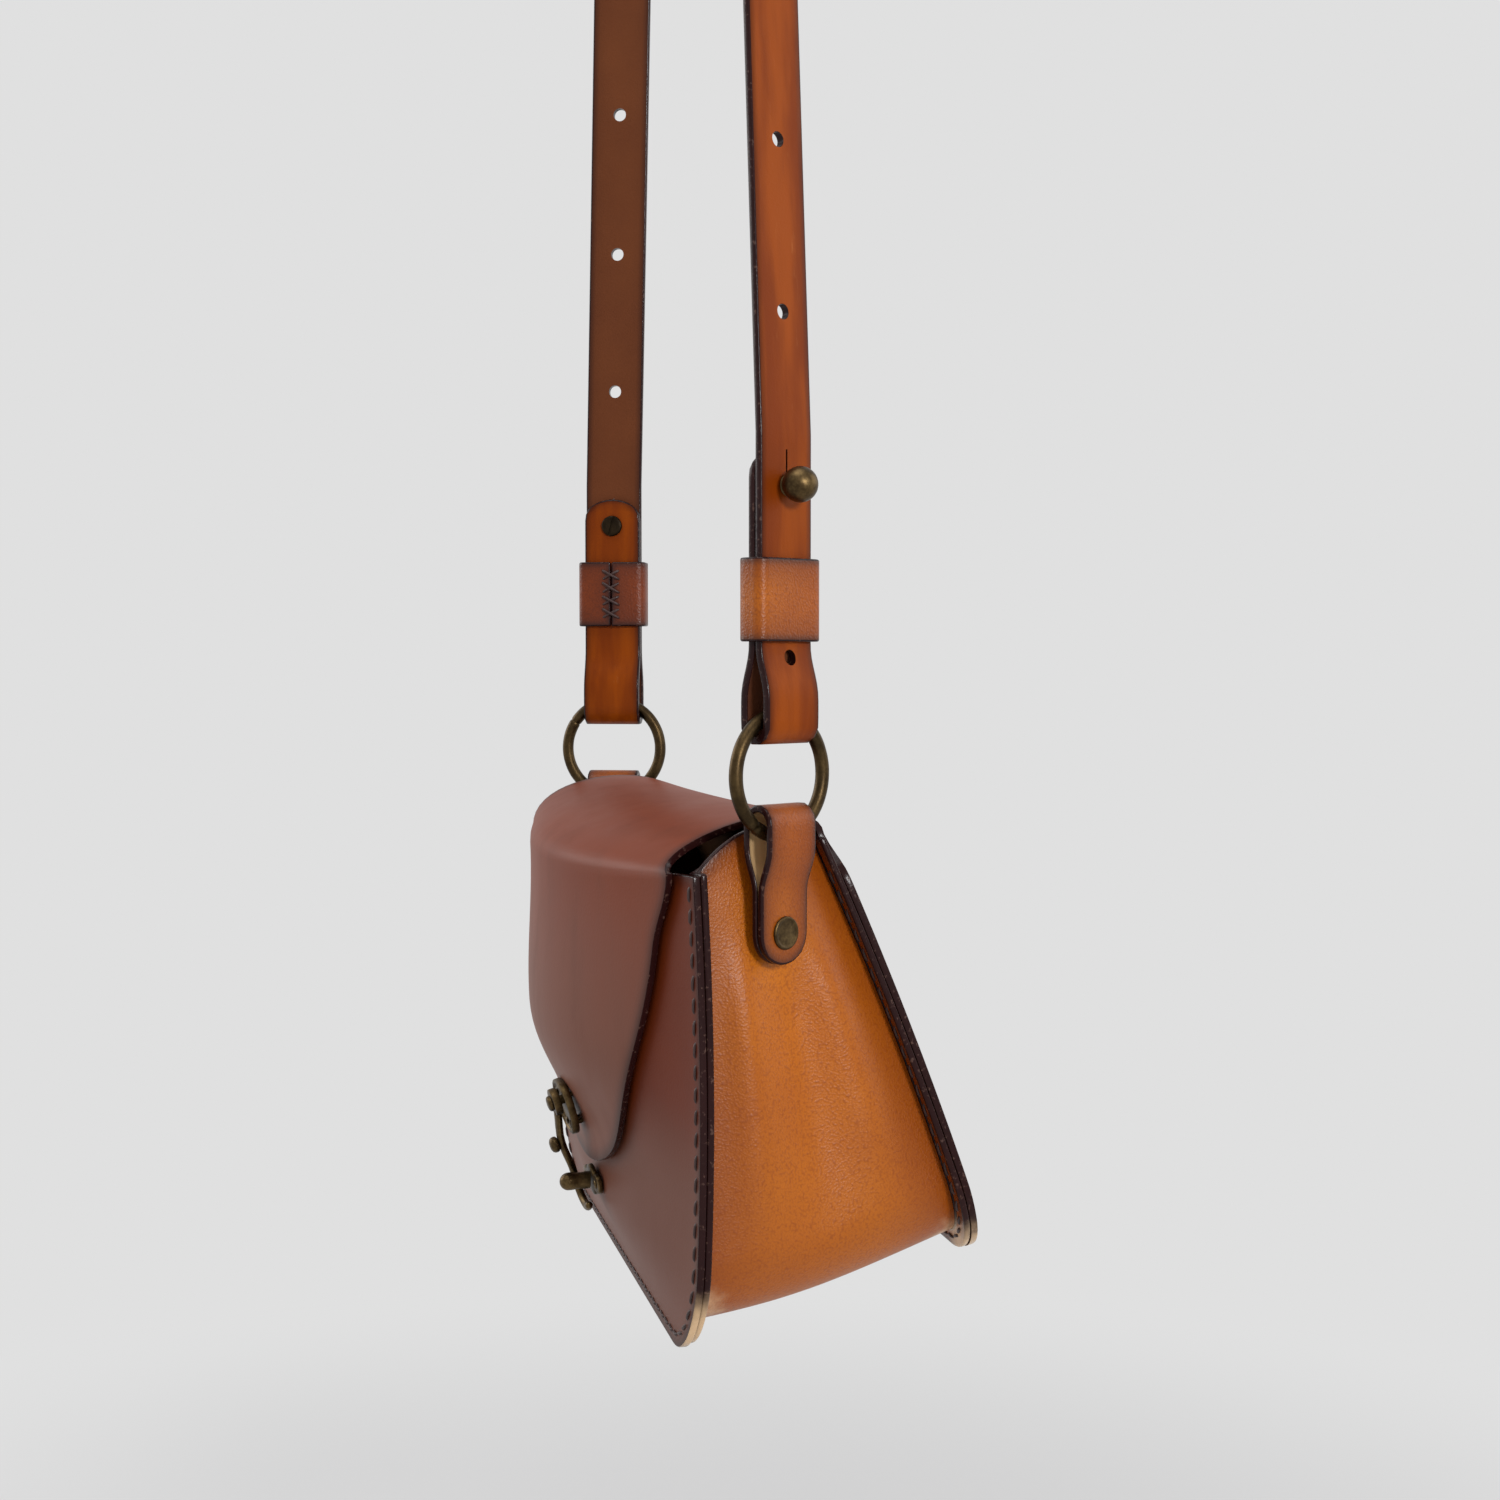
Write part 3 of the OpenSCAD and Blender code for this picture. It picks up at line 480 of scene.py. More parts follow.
def edit(obj, *steps):
    """Runs edit-mode steps on all of the mesh."""
    only(obj)
    bpy.ops.object.mode_set(mode="EDIT")
    bpy.ops.mesh.select_all(action="SELECT")
    for step in steps:
        step()
    bpy.ops.object.mode_set(mode="OBJECT")


def modify(obj, kind, **settings):
    only(obj)
    modifier = obj.modifiers.new(kind.lower(), kind)
    for key, value in settings.items():
        setattr(modifier, key, value)
    bpy.ops.object.modifier_apply(modifier=modifier.name)


def smooth(obj, degrees=40):
    only(obj)
    bpy.ops.object.shade_smooth_by_angle(angle=math.radians(degrees))


def face_outwards():
    bpy.ops.mesh.normals_make_consistent(inside=False)


def grid(name, rows, cols):
    bpy.ops.mesh.primitive_grid_add(x_subdivisions=cols, y_subdivisions=rows, size=1)
    obj = bpy.context.object
    obj.name = obj.data.name = name
    return obj


def dress(obj, body, slot, *materials):
    for material in materials:
        if material.name not in obj.data.materials:
            obj.data.materials.append(material)
    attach(obj, body)


print("helpers ready")

# %% [markdown]
# ## How a sheet of leather is made
# A leather panel is one cut sheet, so it is made as one grid whose points are set on the
# surface, then given its thickness, and its cut edges are rounded by a bevel. Each point also
# keeps how near it is to the cut edge, which the finishes use to darken the rim. Sculpting would
# be freer, but then neighbouring pieces would no longer meet.

# %% A sheet and its thickness
RIMS_KEPT = (("rim_near", 1), ("rim_wide", 5))     # name, and how many times reach it spreads
CUT_ANGLE = math.radians(62)                  # a sharper edge than this is rounded


def mark_rim(obj, rim, reach):
    """Keeps a value of 1 on the cut edge that falls away over reach."""
    tree = kdtree.KDTree(len(rim))
    for i, index in enumerate(rim):
        tree.insert(obj.data.vertices[index].co, i)
    tree.balance()
    for name, wide in RIMS_KEPT:
        kept = obj.data.attributes.new(name, "FLOAT", "POINT")
        for vertex in obj.data.vertices:
            kept.data[vertex.index].value = math.exp(-(tree.find(vertex.co)[2] / reach / wide) ** 2)


def leather_sheet(name, rows, cols, place, facing, reach=2.8):
    """One sheet. place(s, t) gives a point in metres, s across and t along. In the sheet's
    middle its outer face looks towards facing."""
    obj, rim = grid(name, rows, cols), []
    for vertex in obj.data.vertices:
        s, t = vertex.co.x + 0.5, vertex.co.y + 0.5
        if min(s, t, 1 - s, 1 - t) < 1e-4:
            rim.append(vertex.index)
        vertex.co = place(s, t)
    mark_rim(obj, rim, reach * MM)
    middle = place(0.5, 0.5)
    if (place(0.51, 0.5) - middle).cross(place(0.5, 0.51) - middle).dot(facing) < 0:
        edit(obj, bpy.ops.mesh.flip_normals)
    return obj


def thicken(obj, thick, round_edge, outer, inner, edge, offset=-1.0):
    for material in (outer, inner, edge):
        obj.data.materials.append(material)
    modify(obj, "SOLIDIFY", thickness=thick * MM, offset=offset, use_even_offset=True,
           material_offset=1, material_offset_rim=2)
    modify(obj, "BEVEL", width=round_edge * MM, segments=3, limit_method="ANGLE",
           angle_limit=CUT_ANGLE, material=2)
    smooth(obj)


print("each point keeps", [name for name, wide in RIMS_KEPT])

# %% [markdown]
# ## Spreading a grid over a rounded outline
# The panel has round lower corners and the flap a round tip. Rows that narrow towards a round
# end bunch up there and spoil the bevel. So the grid's own corners are put half way round each
# bend, and the points between follow the four sides, which keeps the squares even.

# %% Points between four sides
CHAIN = 40                                    # pieces in each side of a plan


def along(points, share):
    """The point at that share of the length of a chain of points."""
    steps = [(b - a).length for a, b in zip(points, points[1:])]
    left = clamp(share) * sum(steps)
    for a, b, step in zip(points, points[1:], steps):
        if left <= step:
            return a.lerp(b, left / step if step else 0)
        left -= step
    return points[-1].copy()


def four_sided(left, right, foot, top):
    """A function of (s, t) that fills the space between four chains that meet at corners."""
    def fill(s, t):
        corners = ((1 - s) * (1 - t) * foot[0] + s * (1 - t) * foot[-1]
                   + (1 - s) * t * top[0] + s * t * top[-1])
        return ((1 - t) * along(foot, s) + t * along(top, s)
                + (1 - s) * along(left, t) + s * along(right, t) - corners)
    return fill


def mirrored(points): return [Vector((-p.x, p.y)) for p in points]


def both_ways(half):
    """A chain that ends in the middle line, carried on as its own mirror image."""
    return mirrored(reversed(half))[:-1] + half


def panel_plan(side, top_half=None):
    """Fills a panel's outline in its own (x, z) plane, t running from foot to top."""
    bend = SIDE + CORNER / 2
    up = [Vector(outline(side, bend * (1 - i / CHAIN), 0)[:2]) for i in range(CHAIN + 1)]
    if top_half:
        blend_over = 12.0
        for p in up:
            p.x = mix(p.x, top_half, ease((p.y + PANEL_DROP + blend_over) / blend_over))
    foot = [Vector(outline(side, mix(HALF_WAY, bend, i / CHAIN), 0)[:2]) for i in range(CHAIN + 1)]
    left = mirrored(up)
    return four_sided(left, up, both_ways(foot), [left[-1], Vector((0, left[-1].y)), up[-1]])


front_plan = panel_plan("front")
print("middle of the front's plan:", [round(c, 1) for c in front_plan(0.5, 0.5)])

# %% [markdown]
# ## The front panel
# One sheet, flat along its stitched edge and swelling between its ends, drawn in at the clasp.
# Its plan is filled with a grid, and each point is then set on the front's surface.

# %% Front panel
FORWARD, UP = Vector((0, -1, 0)), Vector((0, 0, 1))
PANEL_ROUND = 0.75                            # width of a panel's rounded edge


def front_place(s, t):
    p = front_plan(s, t)
    return hang(p.x, front_y(p.x, p.y), p.y)


front = leather_sheet("front_leather", rows=56, cols=80, place=front_place, facing=FORWARD)
thicken(front, LEATHER, PANEL_ROUND, PANEL, FLESH, EDGE)
dress(front, "bag", "dark_leather")
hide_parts("front_panel")
print("front panel:", len(front.data.polygons), "faces")

# %% [markdown]
# ## Back and flap in one sheet
# On the real bag the back panel runs up, bends over the top and comes down the front as the
# flap. Two pieces would show a gap as the flap opens, so here it is one sheet too.

# %% The arch over the top and the flap's tongue
TONGUE_POWER, TAPER = 2.05, 0.22
HINGE_Y, HINGE_Z = TOP_OUT["back"] - LEATHER, -PANEL_DROP + SEAT
SHOULDER_Z = -PANEL_DROP + LEATHER / 2


def bezier(a, b, c, d, s):
    return (1 - s) ** 3 * a + 3 * s * (1 - s) ** 2 * b + 3 * s * s * (1 - s) * c + s ** 3 * d


def arch_place(s, t):
    spread = 2 * s - 1
    y1 = front_y(FLAP_SHOULDER * spread, SHOULDER_Z) - FLAP_GAP - LEATHER
    y0 = HINGE_Y + LEATHER
    over = -PANEL_DROP + LEATHER * 4 / 3
    z1, z2 = over + FLAP_RISE, over + mix(FAR_RISE, NEAR_RISE, s)
    return hang(mix(FLAP_HINGE, FLAP_SHOULDER, t ** 3) * spread, bezier(y0, y0, y1, y1, t),
                bezier(HINGE_Z, z1, z2, SHOULDER_Z, t))


def tongue(angle):
    """The flap's outline: angle 0 at its widest and a right angle at its tip."""
    u = math.sin(angle) ** (2 / TONGUE_POWER)
    half = mix(FLAP_SHOULDER, FLAP_HALF, ease(u / TAPER)) * math.cos(angle) ** (2 / TONGUE_POWER)
    return Vector((half, SHOULDER_Z - FLAP_FRONT * u))


eighth = math.pi / 4
down = [tongue(eighth * i / CHAIN) for i in range(CHAIN + 1)]
half_tip = [tongue(mix(2 * eighth - 1e-6, eighth, i / CHAIN)) for i in range(CHAIN + 1)]
tongue_plan = four_sided(mirrored(down), down, [*mirrored(down[:1]), down[0]], both_ways(half_tip))


def tongue_place(s, t):
    """t runs from the shoulder to the tip."""
    p = tongue_plan(s, t)
    return hang(p.x, front_y(p.x, p.y) - FLAP_GAP - LEATHER, p.y)


print("the flap's tip hangs at", [round(c, 3) for c in tongue_place(0.5, 1)])

# %% [markdown]
# ### One sheet from foot to tip
# The sheet's length is shared out between back, arch and flap.

# %% Back and flap
BACK_SHARE, ARCH_SHARE, FLAP_ROUND = 0.42, 0.22, 0.8
back_plan = panel_plan("back", FLAP_HINGE)


def back_and_flap_place(s, t):
    if t < BACK_SHARE:
        p = back_plan(s, t / BACK_SHARE)
        return hang(p.x, back_y(p.x, p.y), p.y)
    if t < BACK_SHARE + ARCH_SHARE:
        return arch_place(s, (t - BACK_SHARE) / ARCH_SHARE)
    return tongue_place(s, (t - BACK_SHARE - ARCH_SHARE) / (1 - BACK_SHARE - ARCH_SHARE))


flap = leather_sheet("back_and_flap", rows=100, cols=72, place=back_and_flap_place, facing=UP)
thicken(flap, LEATHER, FLAP_ROUND, SHEEN_PAINTED_BROWN, FLESH, EDGE)
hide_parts("back_panel", "flap")
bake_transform(flap)
print("back and flap:", len(flap.data.polygons), "faces")

# %% [markdown]
# ## The gusset
# One long strip runs down the near end, under the foot and up the far end. Its two edges are
# turned outwards and stitched to the panels. Below each ring tab the leather has sunk a little
# between two soft folds, which catch the light. It is one grid: its columns run from flange to
# flange and its rows follow the panels' outline.

# %% The wall's folds
FLANGE_COLS, WALL_COLS, GUSSET_ROWS = 3, 34, 190
TAB_CROWN, FOOT_CROWN, CROWN_LEAN, CROWN_AT_TOP = 3.5, 2.5, 0.12, 0.55
GUSSET_RISE, RISE_POWER = 8.0, 0.8            # the wall's top edge stands up in its middle
FOLDS = ((0.22, 0.10), (0.74, 0.11))          # place across the wall and width, as shares
HOLLOW_AT, HOLLOW_W = 0.48, 0.13
FOLD_RISE, HOLLOW = 2.6, 2.8                  # millimetres
SAG_GROWS, SAG_ENDS = (1.0, 2.5), (5.5, 4.0)  # start and length of each, along the outline


def flange_y(side, x, z, deep=LEATHER):
    return (front_y(x, z) + LEATHER + SEAT + deep if side == "front"
            else back_y(x, z) - LEATHER - SEAT - deep)


def wall_rise(k, v):
    """How far the wall stands out, with its two folds and the hollow between them."""
    crown = mix(TAB_CROWN, FOOT_CROWN, ease(k / SIDE)) * (math.sin(math.pi * v)
                                                        + CROWN_LEAN * math.sin(2 * math.pi * v))
    crown *= mix(CROWN_AT_TOP, 1, ease(k))
    sag = (ease((k - SAG_GROWS[0]) / SAG_GROWS[1])
           * (1 - ease((k - SAG_ENDS[0]) / SAG_ENDS[1])))
    folds = sum(math.exp(-((v - at) / width) ** 2) for at, width in FOLDS)
    hollow = HOLLOW * math.exp(-((v - HOLLOW_AT) / HOLLOW_W) ** 2)
    return crown + sag * (FOLD_RISE * folds - hollow)


print("the wall stands out by", round(wall_rise(4, FOLDS[0][0]), 1), "mm on its first fold")

# %% [markdown]
# ### The gusset's sheet
# Column by column the strip crosses from the front's flange over the wall to the back's flange.
# Row by row it follows the outline down, along the foot and up again.

# %% Gusset
def gusset_point(end, k, column):
    """end is +1 at the near end; column counts across the strip from the front edge."""
    def flange(side, inset):
        x, z, _, _ = outline(side, k, inset)
        return Vector((end * x, flange_y(side, end * x, z), z))
    last = WALL_COLS + FLANGE_COLS
    if column <= FLANGE_COLS:
        return flange("front", SEAM_W * column / FLANGE_COLS)
    if column >= last:
        return flange("back", SEAM_W * (last + FLANGE_COLS - column) / FLANGE_COLS)
    v = (column - FLANGE_COLS) / WALL_COLS
    _, _, out_x, out_z = outline("front", k, SEAM_W)
    rise = wall_rise(k, v)
    top = GUSSET_RISE * math.sin(math.pi * v) ** RISE_POWER * clamp(1 - k)
    return (flange("front", SEAM_W).lerp(flange("back", SEAM_W), v)
            + Vector((end * out_x * rise, 0, out_z * rise + top)))


def gusset_place(s, t):
    way = 2 * HALF_WAY * t
    end, k = (1, way) if way <= HALF_WAY else (-1, 2 * HALF_WAY - way)
    return hang(*gusset_point(end, k, s * (WALL_COLS + 2 * FLANGE_COLS)))


gusset = leather_sheet("gusset_leather", GUSSET_ROWS, WALL_COLS + 2 * FLANGE_COLS, gusset_place,
                       -UP)
thicken(gusset, LEATHER, PANEL_ROUND, GUSSET_TAN, FLESH, EDGE)
dress(gusset, "bag", "tan_leather")
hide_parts("gusset")
print("gusset:", len(gusset.data.polygons), "faces")

# %% [markdown]
# ## Places beside a ring
# Strap, tabs, keepers and studs all line up on a ring, and the ring is turned a little against
# the bag. So their places are given as out of the bag, across the strap and up. The far end is
# a mirror image.

# %% Ring axes
RING_X, RING_TURN = 92.0, math.radians(26)
ENDS = {"near": 1, "far": -1}


def at_ring(end, out, across, z):
    """A point beside a ring: out of the bag, across the strap and up, in millimetres."""
    x = RING_X + out * math.cos(RING_TURN) - across * math.sin(RING_TURN)
    y = out * math.sin(RING_TURN) + across * math.cos(RING_TURN)
    return Vector((end * x, y, z - HANG_H)) * MM


def ring_axes(end):
    """Directions out of the bag, across the strap and up, at a ring."""
    zero = at_ring(end, 0, 0, 0)
    return [(at_ring(end, *step) - zero) / MM for step in ((1, 0, 0), (0, 1, 0), (0, 0, 1))]


print("ring centres:", [[round(c, 3) for c in at_ring(end, 0, 0, 0)] for end in ENDS.values()])

# %% [markdown]
# ## Strips of leather
# The strap, ring tabs and keepers are strips that follow a line. A curve with a bevel could
# draw them, but it has no rounded ends and no cut edge. One helper lays a sheet along a line of
# stations instead, and rounds its ends where it is asked to.

# %% A strip along a line
ARC = 8                                       # pieces in an eighth of a round end


def round_end(half, depth, length):
    """Fills the last stretch of a strip, from full width to a rounded tip."""
    def arc(angle):
        return Vector((half * math.cos(angle), length - depth * (1 - math.sin(angle))))
    side = [Vector((half, 0))] + [arc(math.pi / 4 * i / ARC) for i in range(ARC + 1)]
    tip = [arc(math.pi / 4 * (2 - i / ARC)) for i in range(ARC + 1)]
    return four_sided(mirrored(side), side, [Vector((-half, 0)), Vector((half, 0))],
                      both_ways(tip))


def ribbon(name, stations, width, thick, facing, leathers, tip=0.0, round_edge=0.7, step=2.4):
    """A strip through the middle of its thickness. A station is a point and the direction of
    the width; tip is how deep its rounded ends are."""
    reached = [0.0]
    for (a, _), (b, _) in zip(stations, stations[1:]):
        reached.append(reached[-1] + (b - a).length / MM)
    total = reached[-1]
    rows = round(total / step)
    stretch = math.ceil((tip + 3) / total * rows) * total / rows
    fill = round_end(width / 2, tip, stretch) if tip else None

    def station(way):
        i = min(max(bisect.bisect_right(reached, way), 1), len(reached) - 1)
        share = clamp((way - reached[i - 1]) / (reached[i] - reached[i - 1]))
        (a, a_side), (b, b_side) = stations[i - 1], stations[i]
        return a.lerp(b, share), a_side.lerp(b_side, share).normalized()

    def place(s, t):
        way, aside = t * total, (2 * s - 1) * width / 2
        to_end = min(way, total - way)
        if fill and to_end < stretch:
            aside, gone = fill(s, 1 - to_end / stretch)
            way = stretch - gone if way < total / 2 else total - stretch + gone
        point, side = station(way)
        return point + side * aside * MM

    obj = leather_sheet(name, rows, max(6, round(width / step)), place, facing, 1.6)
    thicken(obj, thick, round_edge, *leathers, offset=0.0)
    return obj


print("strips are ready")

# %% [markdown]
# ## Turned pieces and rods
# Studs, screws, rivets and plates are turned or cast: a profile is carried round an axis. Spin
# could do it, but carrying the profile also makes outlines that aren't round. The lever is a
# rod drawn along a curve. Both start as a grid that is closed up at the end.

# %% Turned piece and rod
CAP_ROWS = 3                                  # rows in each round end of a rod


def close_up(obj, gap=0.002 * MM, degrees=35):
    edit(obj, lambda: bpy.ops.mesh.remove_doubles(threshold=gap), face_outwards)
    smooth(obj, degrees)


def turned_piece(name, profile, place, shape=lambda angle: 1.0, steps=48):
    """Carries a profile of (radius, height) round an axis. place(x, y, height) sets a point,
    and shape(angle) makes the outline other than round."""
    obj = grid(name, len(profile) - 1, steps)
    for vertex in obj.data.vertices:
        angle = 2 * math.pi * (vertex.co.x + 0.5)
        radius, height = profile[round((vertex.co.y + 0.5) * (len(profile) - 1))]
        radius *= shape(angle)
        vertex.co = place(radius * math.cos(angle), radius * math.sin(angle), height)
    close_up(obj)
    return obj


def rod(name, centres, widths, depths, depth_way, steps=16):
    """A rod through centres with an oval section, closed by round ends."""
    last = len(centres) - 1
    rows = last + 2 * CAP_ROWS
    obj = grid(name, rows, steps)
    for vertex in obj.data.vertices:
        angle = 2 * math.pi * (vertex.co.x + 0.5)
        row = round((vertex.co.y + 0.5) * rows) - CAP_ROWS
        i = min(max(row, 0), last)
        ahead = (centres[min(i + 1, last)] - centres[max(i - 1, 0)]).normalized()
        side = ahead.cross(depth_way).normalized()
        deep = side.cross(ahead)
        cap = math.pi / 2 * (row - i) / CAP_ROWS
        shrink = math.cos(cap)
        end = ahead * math.sin(cap) * min(widths[i], depths[i]) * MM
        vertex.co = (centres[i] + end + side * widths[i] * MM * shrink * math.cos(angle)
                     + deep * depths[i] * MM * shrink * math.sin(angle))
    close_up(obj)
    return obj


print("turned pieces and rods are ready")

# %% [markdown]
# ## Joining and cutting
# Holes and slots are cut, as on the real bag: a bar or a round bar is set through the piece and
# taken away. The cut faces get the cutter's own material, so a hole through the strap has a
# burnished edge.

# %% Join, bar, drill, cut
def join(objects):
    bpy.ops.object.select_all(action="DESELECT")
    for obj in objects:
        obj.select_set(True)
    bpy.context.view_layer.objects.active = objects[0]
    bpy.ops.object.join()
    return bpy.context.object


def bar(at, first_way, second_way, sizes):
    """A block for cutting, its middle at a point and its sides along two directions."""
    bpy.ops.mesh.primitive_cube_add(size=1)
    obj = bpy.context.object
    turn = Matrix((first_way, second_way, first_way.cross(second_way))).transposed()
    for vertex in obj.data.vertices:
        vertex.co = at + turn @ Vector([c * size * MM for c, size in zip(vertex.co, sizes)])
    edit(obj, face_outwards)
    return obj


def drill(start, way, radius, length):
    """A round bar for cutting, from a point along a direction."""
    side = way.orthogonal().normalized()
    other = way.cross(side)
    return turned_piece("drill", [(0, 0), (radius, 0), (radius, length), (0, length)],
                        lambda x, y, h: start + (side * x + other * y + way * h) * MM, steps=24)


def cut(obj, cutters, material):
    cutter = join(cutters)
    cutter.data.materials.clear()
    cutter.data.materials.append(material)
    modify(obj, "BOOLEAN", object=cutter, operation="DIFFERENCE", solver="EXACT",
           material_mode="TRANSFER")
    bpy.data.objects.remove(cutter)
    smooth(obj)


print("joining and cutting are ready")

# %% [markdown]
# ## The strap
# One long strip. Each end goes down outside its ring, round it and up inside, and a stud holds
# the two layers together. The strap turns as it rises, so that its arch lies flat over a hook.
# Its middle line is drawn by stations, and the strip is laid along them.

# %% Strap
STRAP_W, STRAP_T, STUD_Z = 20.0, 2.4, 80.0
LAYER_OFF, TAIL_TOP, SHUT_Z, WIDE_Z = 1.325, 89.6, 36.0, 21.0
LOOP_Z, LOOP_R, LEG_FROM, ARCH_FOOT, ARCH_R = 14.13, 4.4, 94.4, 438.0, 63.2
TAPER_STEPS, LOOP_STEPS, LEG_STEPS, ARCH_STEPS = 12, 16, 40, 80
TURN_FROM = 0.45                              # share of the leg where it starts to turn


def leg(s):
    """Out, height, turn and distance from the bag's middle, up the leg of the strap."""
    return (LAYER_OFF * (1 - s), mix(LEG_FROM, ARCH_FOOT, s),
            RING_TURN * (1 - ease((s - TURN_FROM) / (1 - TURN_FROM))), mix(RING_X, ARCH_R, s))


def strap_station(out, z, turn=RING_TURN, x=RING_X):
    return (Vector((x + out * math.cos(turn), out * math.sin(turn), z - HANG_H)) * MM,
            Vector((-math.sin(turn), math.cos(turn), 0)))


def taper(shut, wide, shut_z, wide_z, steps):
    """Out and height where a strip leaves its other layer to pass round a ring."""
    return [(mix(shut, wide, ease(i / steps)), mix(shut_z, wide_z, i / steps))
            for i in range(steps + 1)]


def half_strap():
    tapers = taper(LAYER_OFF, LOOP_R, SHUT_Z, WIDE_Z, TAPER_STEPS)
    turns = [math.pi * (1 + i / LOOP_STEPS) for i in range(LOOP_STEPS + 1)]
    return ([strap_station(-LAYER_OFF, TAIL_TOP)] + [strap_station(-out, z) for out, z in tapers]
            + [strap_station(LOOP_R * math.cos(a), LOOP_Z + LOOP_R * math.sin(a)) for a in turns]
            + [strap_station(out, z) for out, z in reversed(tapers)]
            + [strap_station(*leg(i / LEG_STEPS)) for i in range(LEG_STEPS + 1)])


near_half = half_strap()
arch = [(Vector((ARCH_R * math.cos(a), 0, ARCH_FOOT + ARCH_R * math.sin(a) - HANG_H)) * MM,
         Vector((0, 1, 0))) for a in (math.pi * i / ARCH_STEPS for i in range(1, ARCH_STEPS))]
far_half = [(Vector((-p.x, p.y, p.z)), Vector((-w.x, w.y, w.z))) for p, w in reversed(near_half)]
strap = ribbon("strap", near_half + arch + far_half, STRAP_W, STRAP_T, UP,
               (STRAP_GRAIN, STRAP_FLESH, EDGE), tip=7.0, round_edge=0.6)
print("strap:", len(strap.data.polygons), "faces before its holes are cut")

# %% [markdown]
# ### Holes and slits
# Above the stud are three more holes to shorten the strap, and a short slit lets the stud's
# ball through. On the near end a spare hole shows low down. The slit opens into the stud's hole,
# and cutters that overlap confuse a Boolean, so the slits are cut after the holes.

# %% Holes and slits of the strap
HOLE_PITCH, HOLE_D, THROUGH = 48.0, 4.4, 14.0
LOW_HOLE = (0.2, 1.0, 32.6)                   # out, across and up; through the outer layer only
SLIT_AT, SLIT_SIZES = (1.6, 0.0, STUD_Z + 5.5), (3.0, 0.6, 8.8)


def strap_slit(end):
    out, across, _ = ring_axes(end)
    return bar(at_ring(end, *SLIT_AT), out, across, SLIT_SIZES)


def strap_holes(end):
    out = ring_axes(end)[0]
    tools = [drill(at_ring(end, -THROUGH / 2, 0, STUD_Z), out, HOLE_D / 2, THROUGH)]
    for i in (1, 2, 3):
        z = STUD_Z + i * HOLE_PITCH
        n, _, turn, x = leg((z - LEG_FROM) / (ARCH_FOOT - LEG_FROM))
        point, side = strap_station(n, z, turn, x)
        way = side.cross(UP)
        point, way = Vector((end * point.x, point.y, point.z)), Vector((end * way.x, way.y, 0))
        tools.append(drill(point - way * THROUGH / 2 * MM, way, HOLE_D / 2, THROUGH))
    if end > 0:
        tools.append(drill(at_ring(end, *LOW_HOLE), out, HOLE_D / 2, 6))
    return tools


cut(strap, strap_holes(1) + strap_holes(-1), EDGE)
cut(strap, [strap_slit(1), strap_slit(-1)], EDGE)
dress(strap, "strap", "strap_leather")
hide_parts("shoulder_strap")
print("strap:", len(strap.data.polygons), "faces")

# %% [markdown]
# ## Rings
# Each ring is brass wire bent round and brazed, so its joint shows as a faint pinch. A torus is
# its start; the pinch and a slight unevenness of the wire make it a bent ring.

# %% Rings
RING_R, WIRE_R = 17.0, 2.0
SEAM_AT = {"near": -2.2, "far": 2.55}         # the joint's angle on its ring, in radians
PINCH, PINCH_W, UNEVEN = 0.14, 0.4, 0.02


def make_ring(where):
    end = ENDS[where]
    out, across, up = ring_axes(end)
    bpy.ops.mesh.primitive_torus_add(major_segments=192, minor_segments=24, major_radius=RING_R,
                                     minor_radius=WIRE_R)
    obj = bpy.context.object
    obj.name = obj.data.name = "brass_ring_" + where
    centre = at_ring(end, 0, 0, 0)
    for vertex in obj.data.vertices:
        angle = math.atan2(vertex.co.y, vertex.co.x)
        middle = Vector((math.cos(angle), math.sin(angle), 0)) * RING_R
        off = RING_R * ((angle - SEAM_AT[where] + math.pi) % (2 * math.pi) - math.pi)
        pinch = PINCH * math.exp(-(off / PINCH_W) ** 2)
        uneven = UNEVEN * noise.noise(middle * 0.25 + Vector((end, 0, 0)))
        p = middle + (vertex.co - middle) * (1 - pinch - UNEVEN + uneven)
        vertex.co = centre + (across * p.x + up * p.y + out * p.z) * MM
    edit(obj, face_outwards)
    smooth(obj)
    dress(obj, "ring_" + where, "antique_brass", RING_BRASS)
    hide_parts("ring_" + where)


for where in ENDS:
    make_ring(where)
print("rings of", 2 * (RING_R + WIRE_R), "mm made")

# %% [markdown]
# ## Ring tabs
# A tab is a strip folded over its ring, pear shaped where it holds the wire and riveted through
# the gusset. It is a strip like the strap, along a line that goes up, round and down again.

# %% Ring tabs
TAB_W, TAB_FOLD_Z, TAB_LOOP_R, TAB_LAYER = 18.0, -13.45, 4.5, 1.125
TAB_FOOT, TAB_WIDE_Z, TAB_SHUT_Z, TAB_STEPS = -53.0, -20.0, -33.0, 10


def make_tab(where):
    end = ENDS[where]
    across = ring_axes(end)[1]
    tapers = taper(TAB_LAYER, TAB_LOOP_R, TAB_SHUT_Z, TAB_WIDE_Z, TAB_STEPS)
    turns = [math.pi * i / LOOP_STEPS for i in range(LOOP_STEPS + 1)]
    line = ([(TAB_LAYER, TAB_FOOT)] + tapers
            + [(TAB_LOOP_R * math.cos(a), TAB_FOLD_Z + TAB_LOOP_R * math.sin(a)) for a in turns]
            + [(-out, z) for out, z in reversed(tapers)] + [(-TAB_LAYER, TAB_FOOT)])
    stations = [(at_ring(end, out, 0, z), across) for out, z in line]
    tab = ribbon("tab_" + where, stations, TAB_W, LEATHER, UP, (STRAP_TAN, TAB_FLESH, EDGE),
                 tip=9.0, step=2.1)
    dress(tab, "bag", "tan_leather")
    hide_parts("ring_tab_" + where)


for where in ENDS:
    make_tab(where)
print("tabs", TAB_W, "mm wide made")

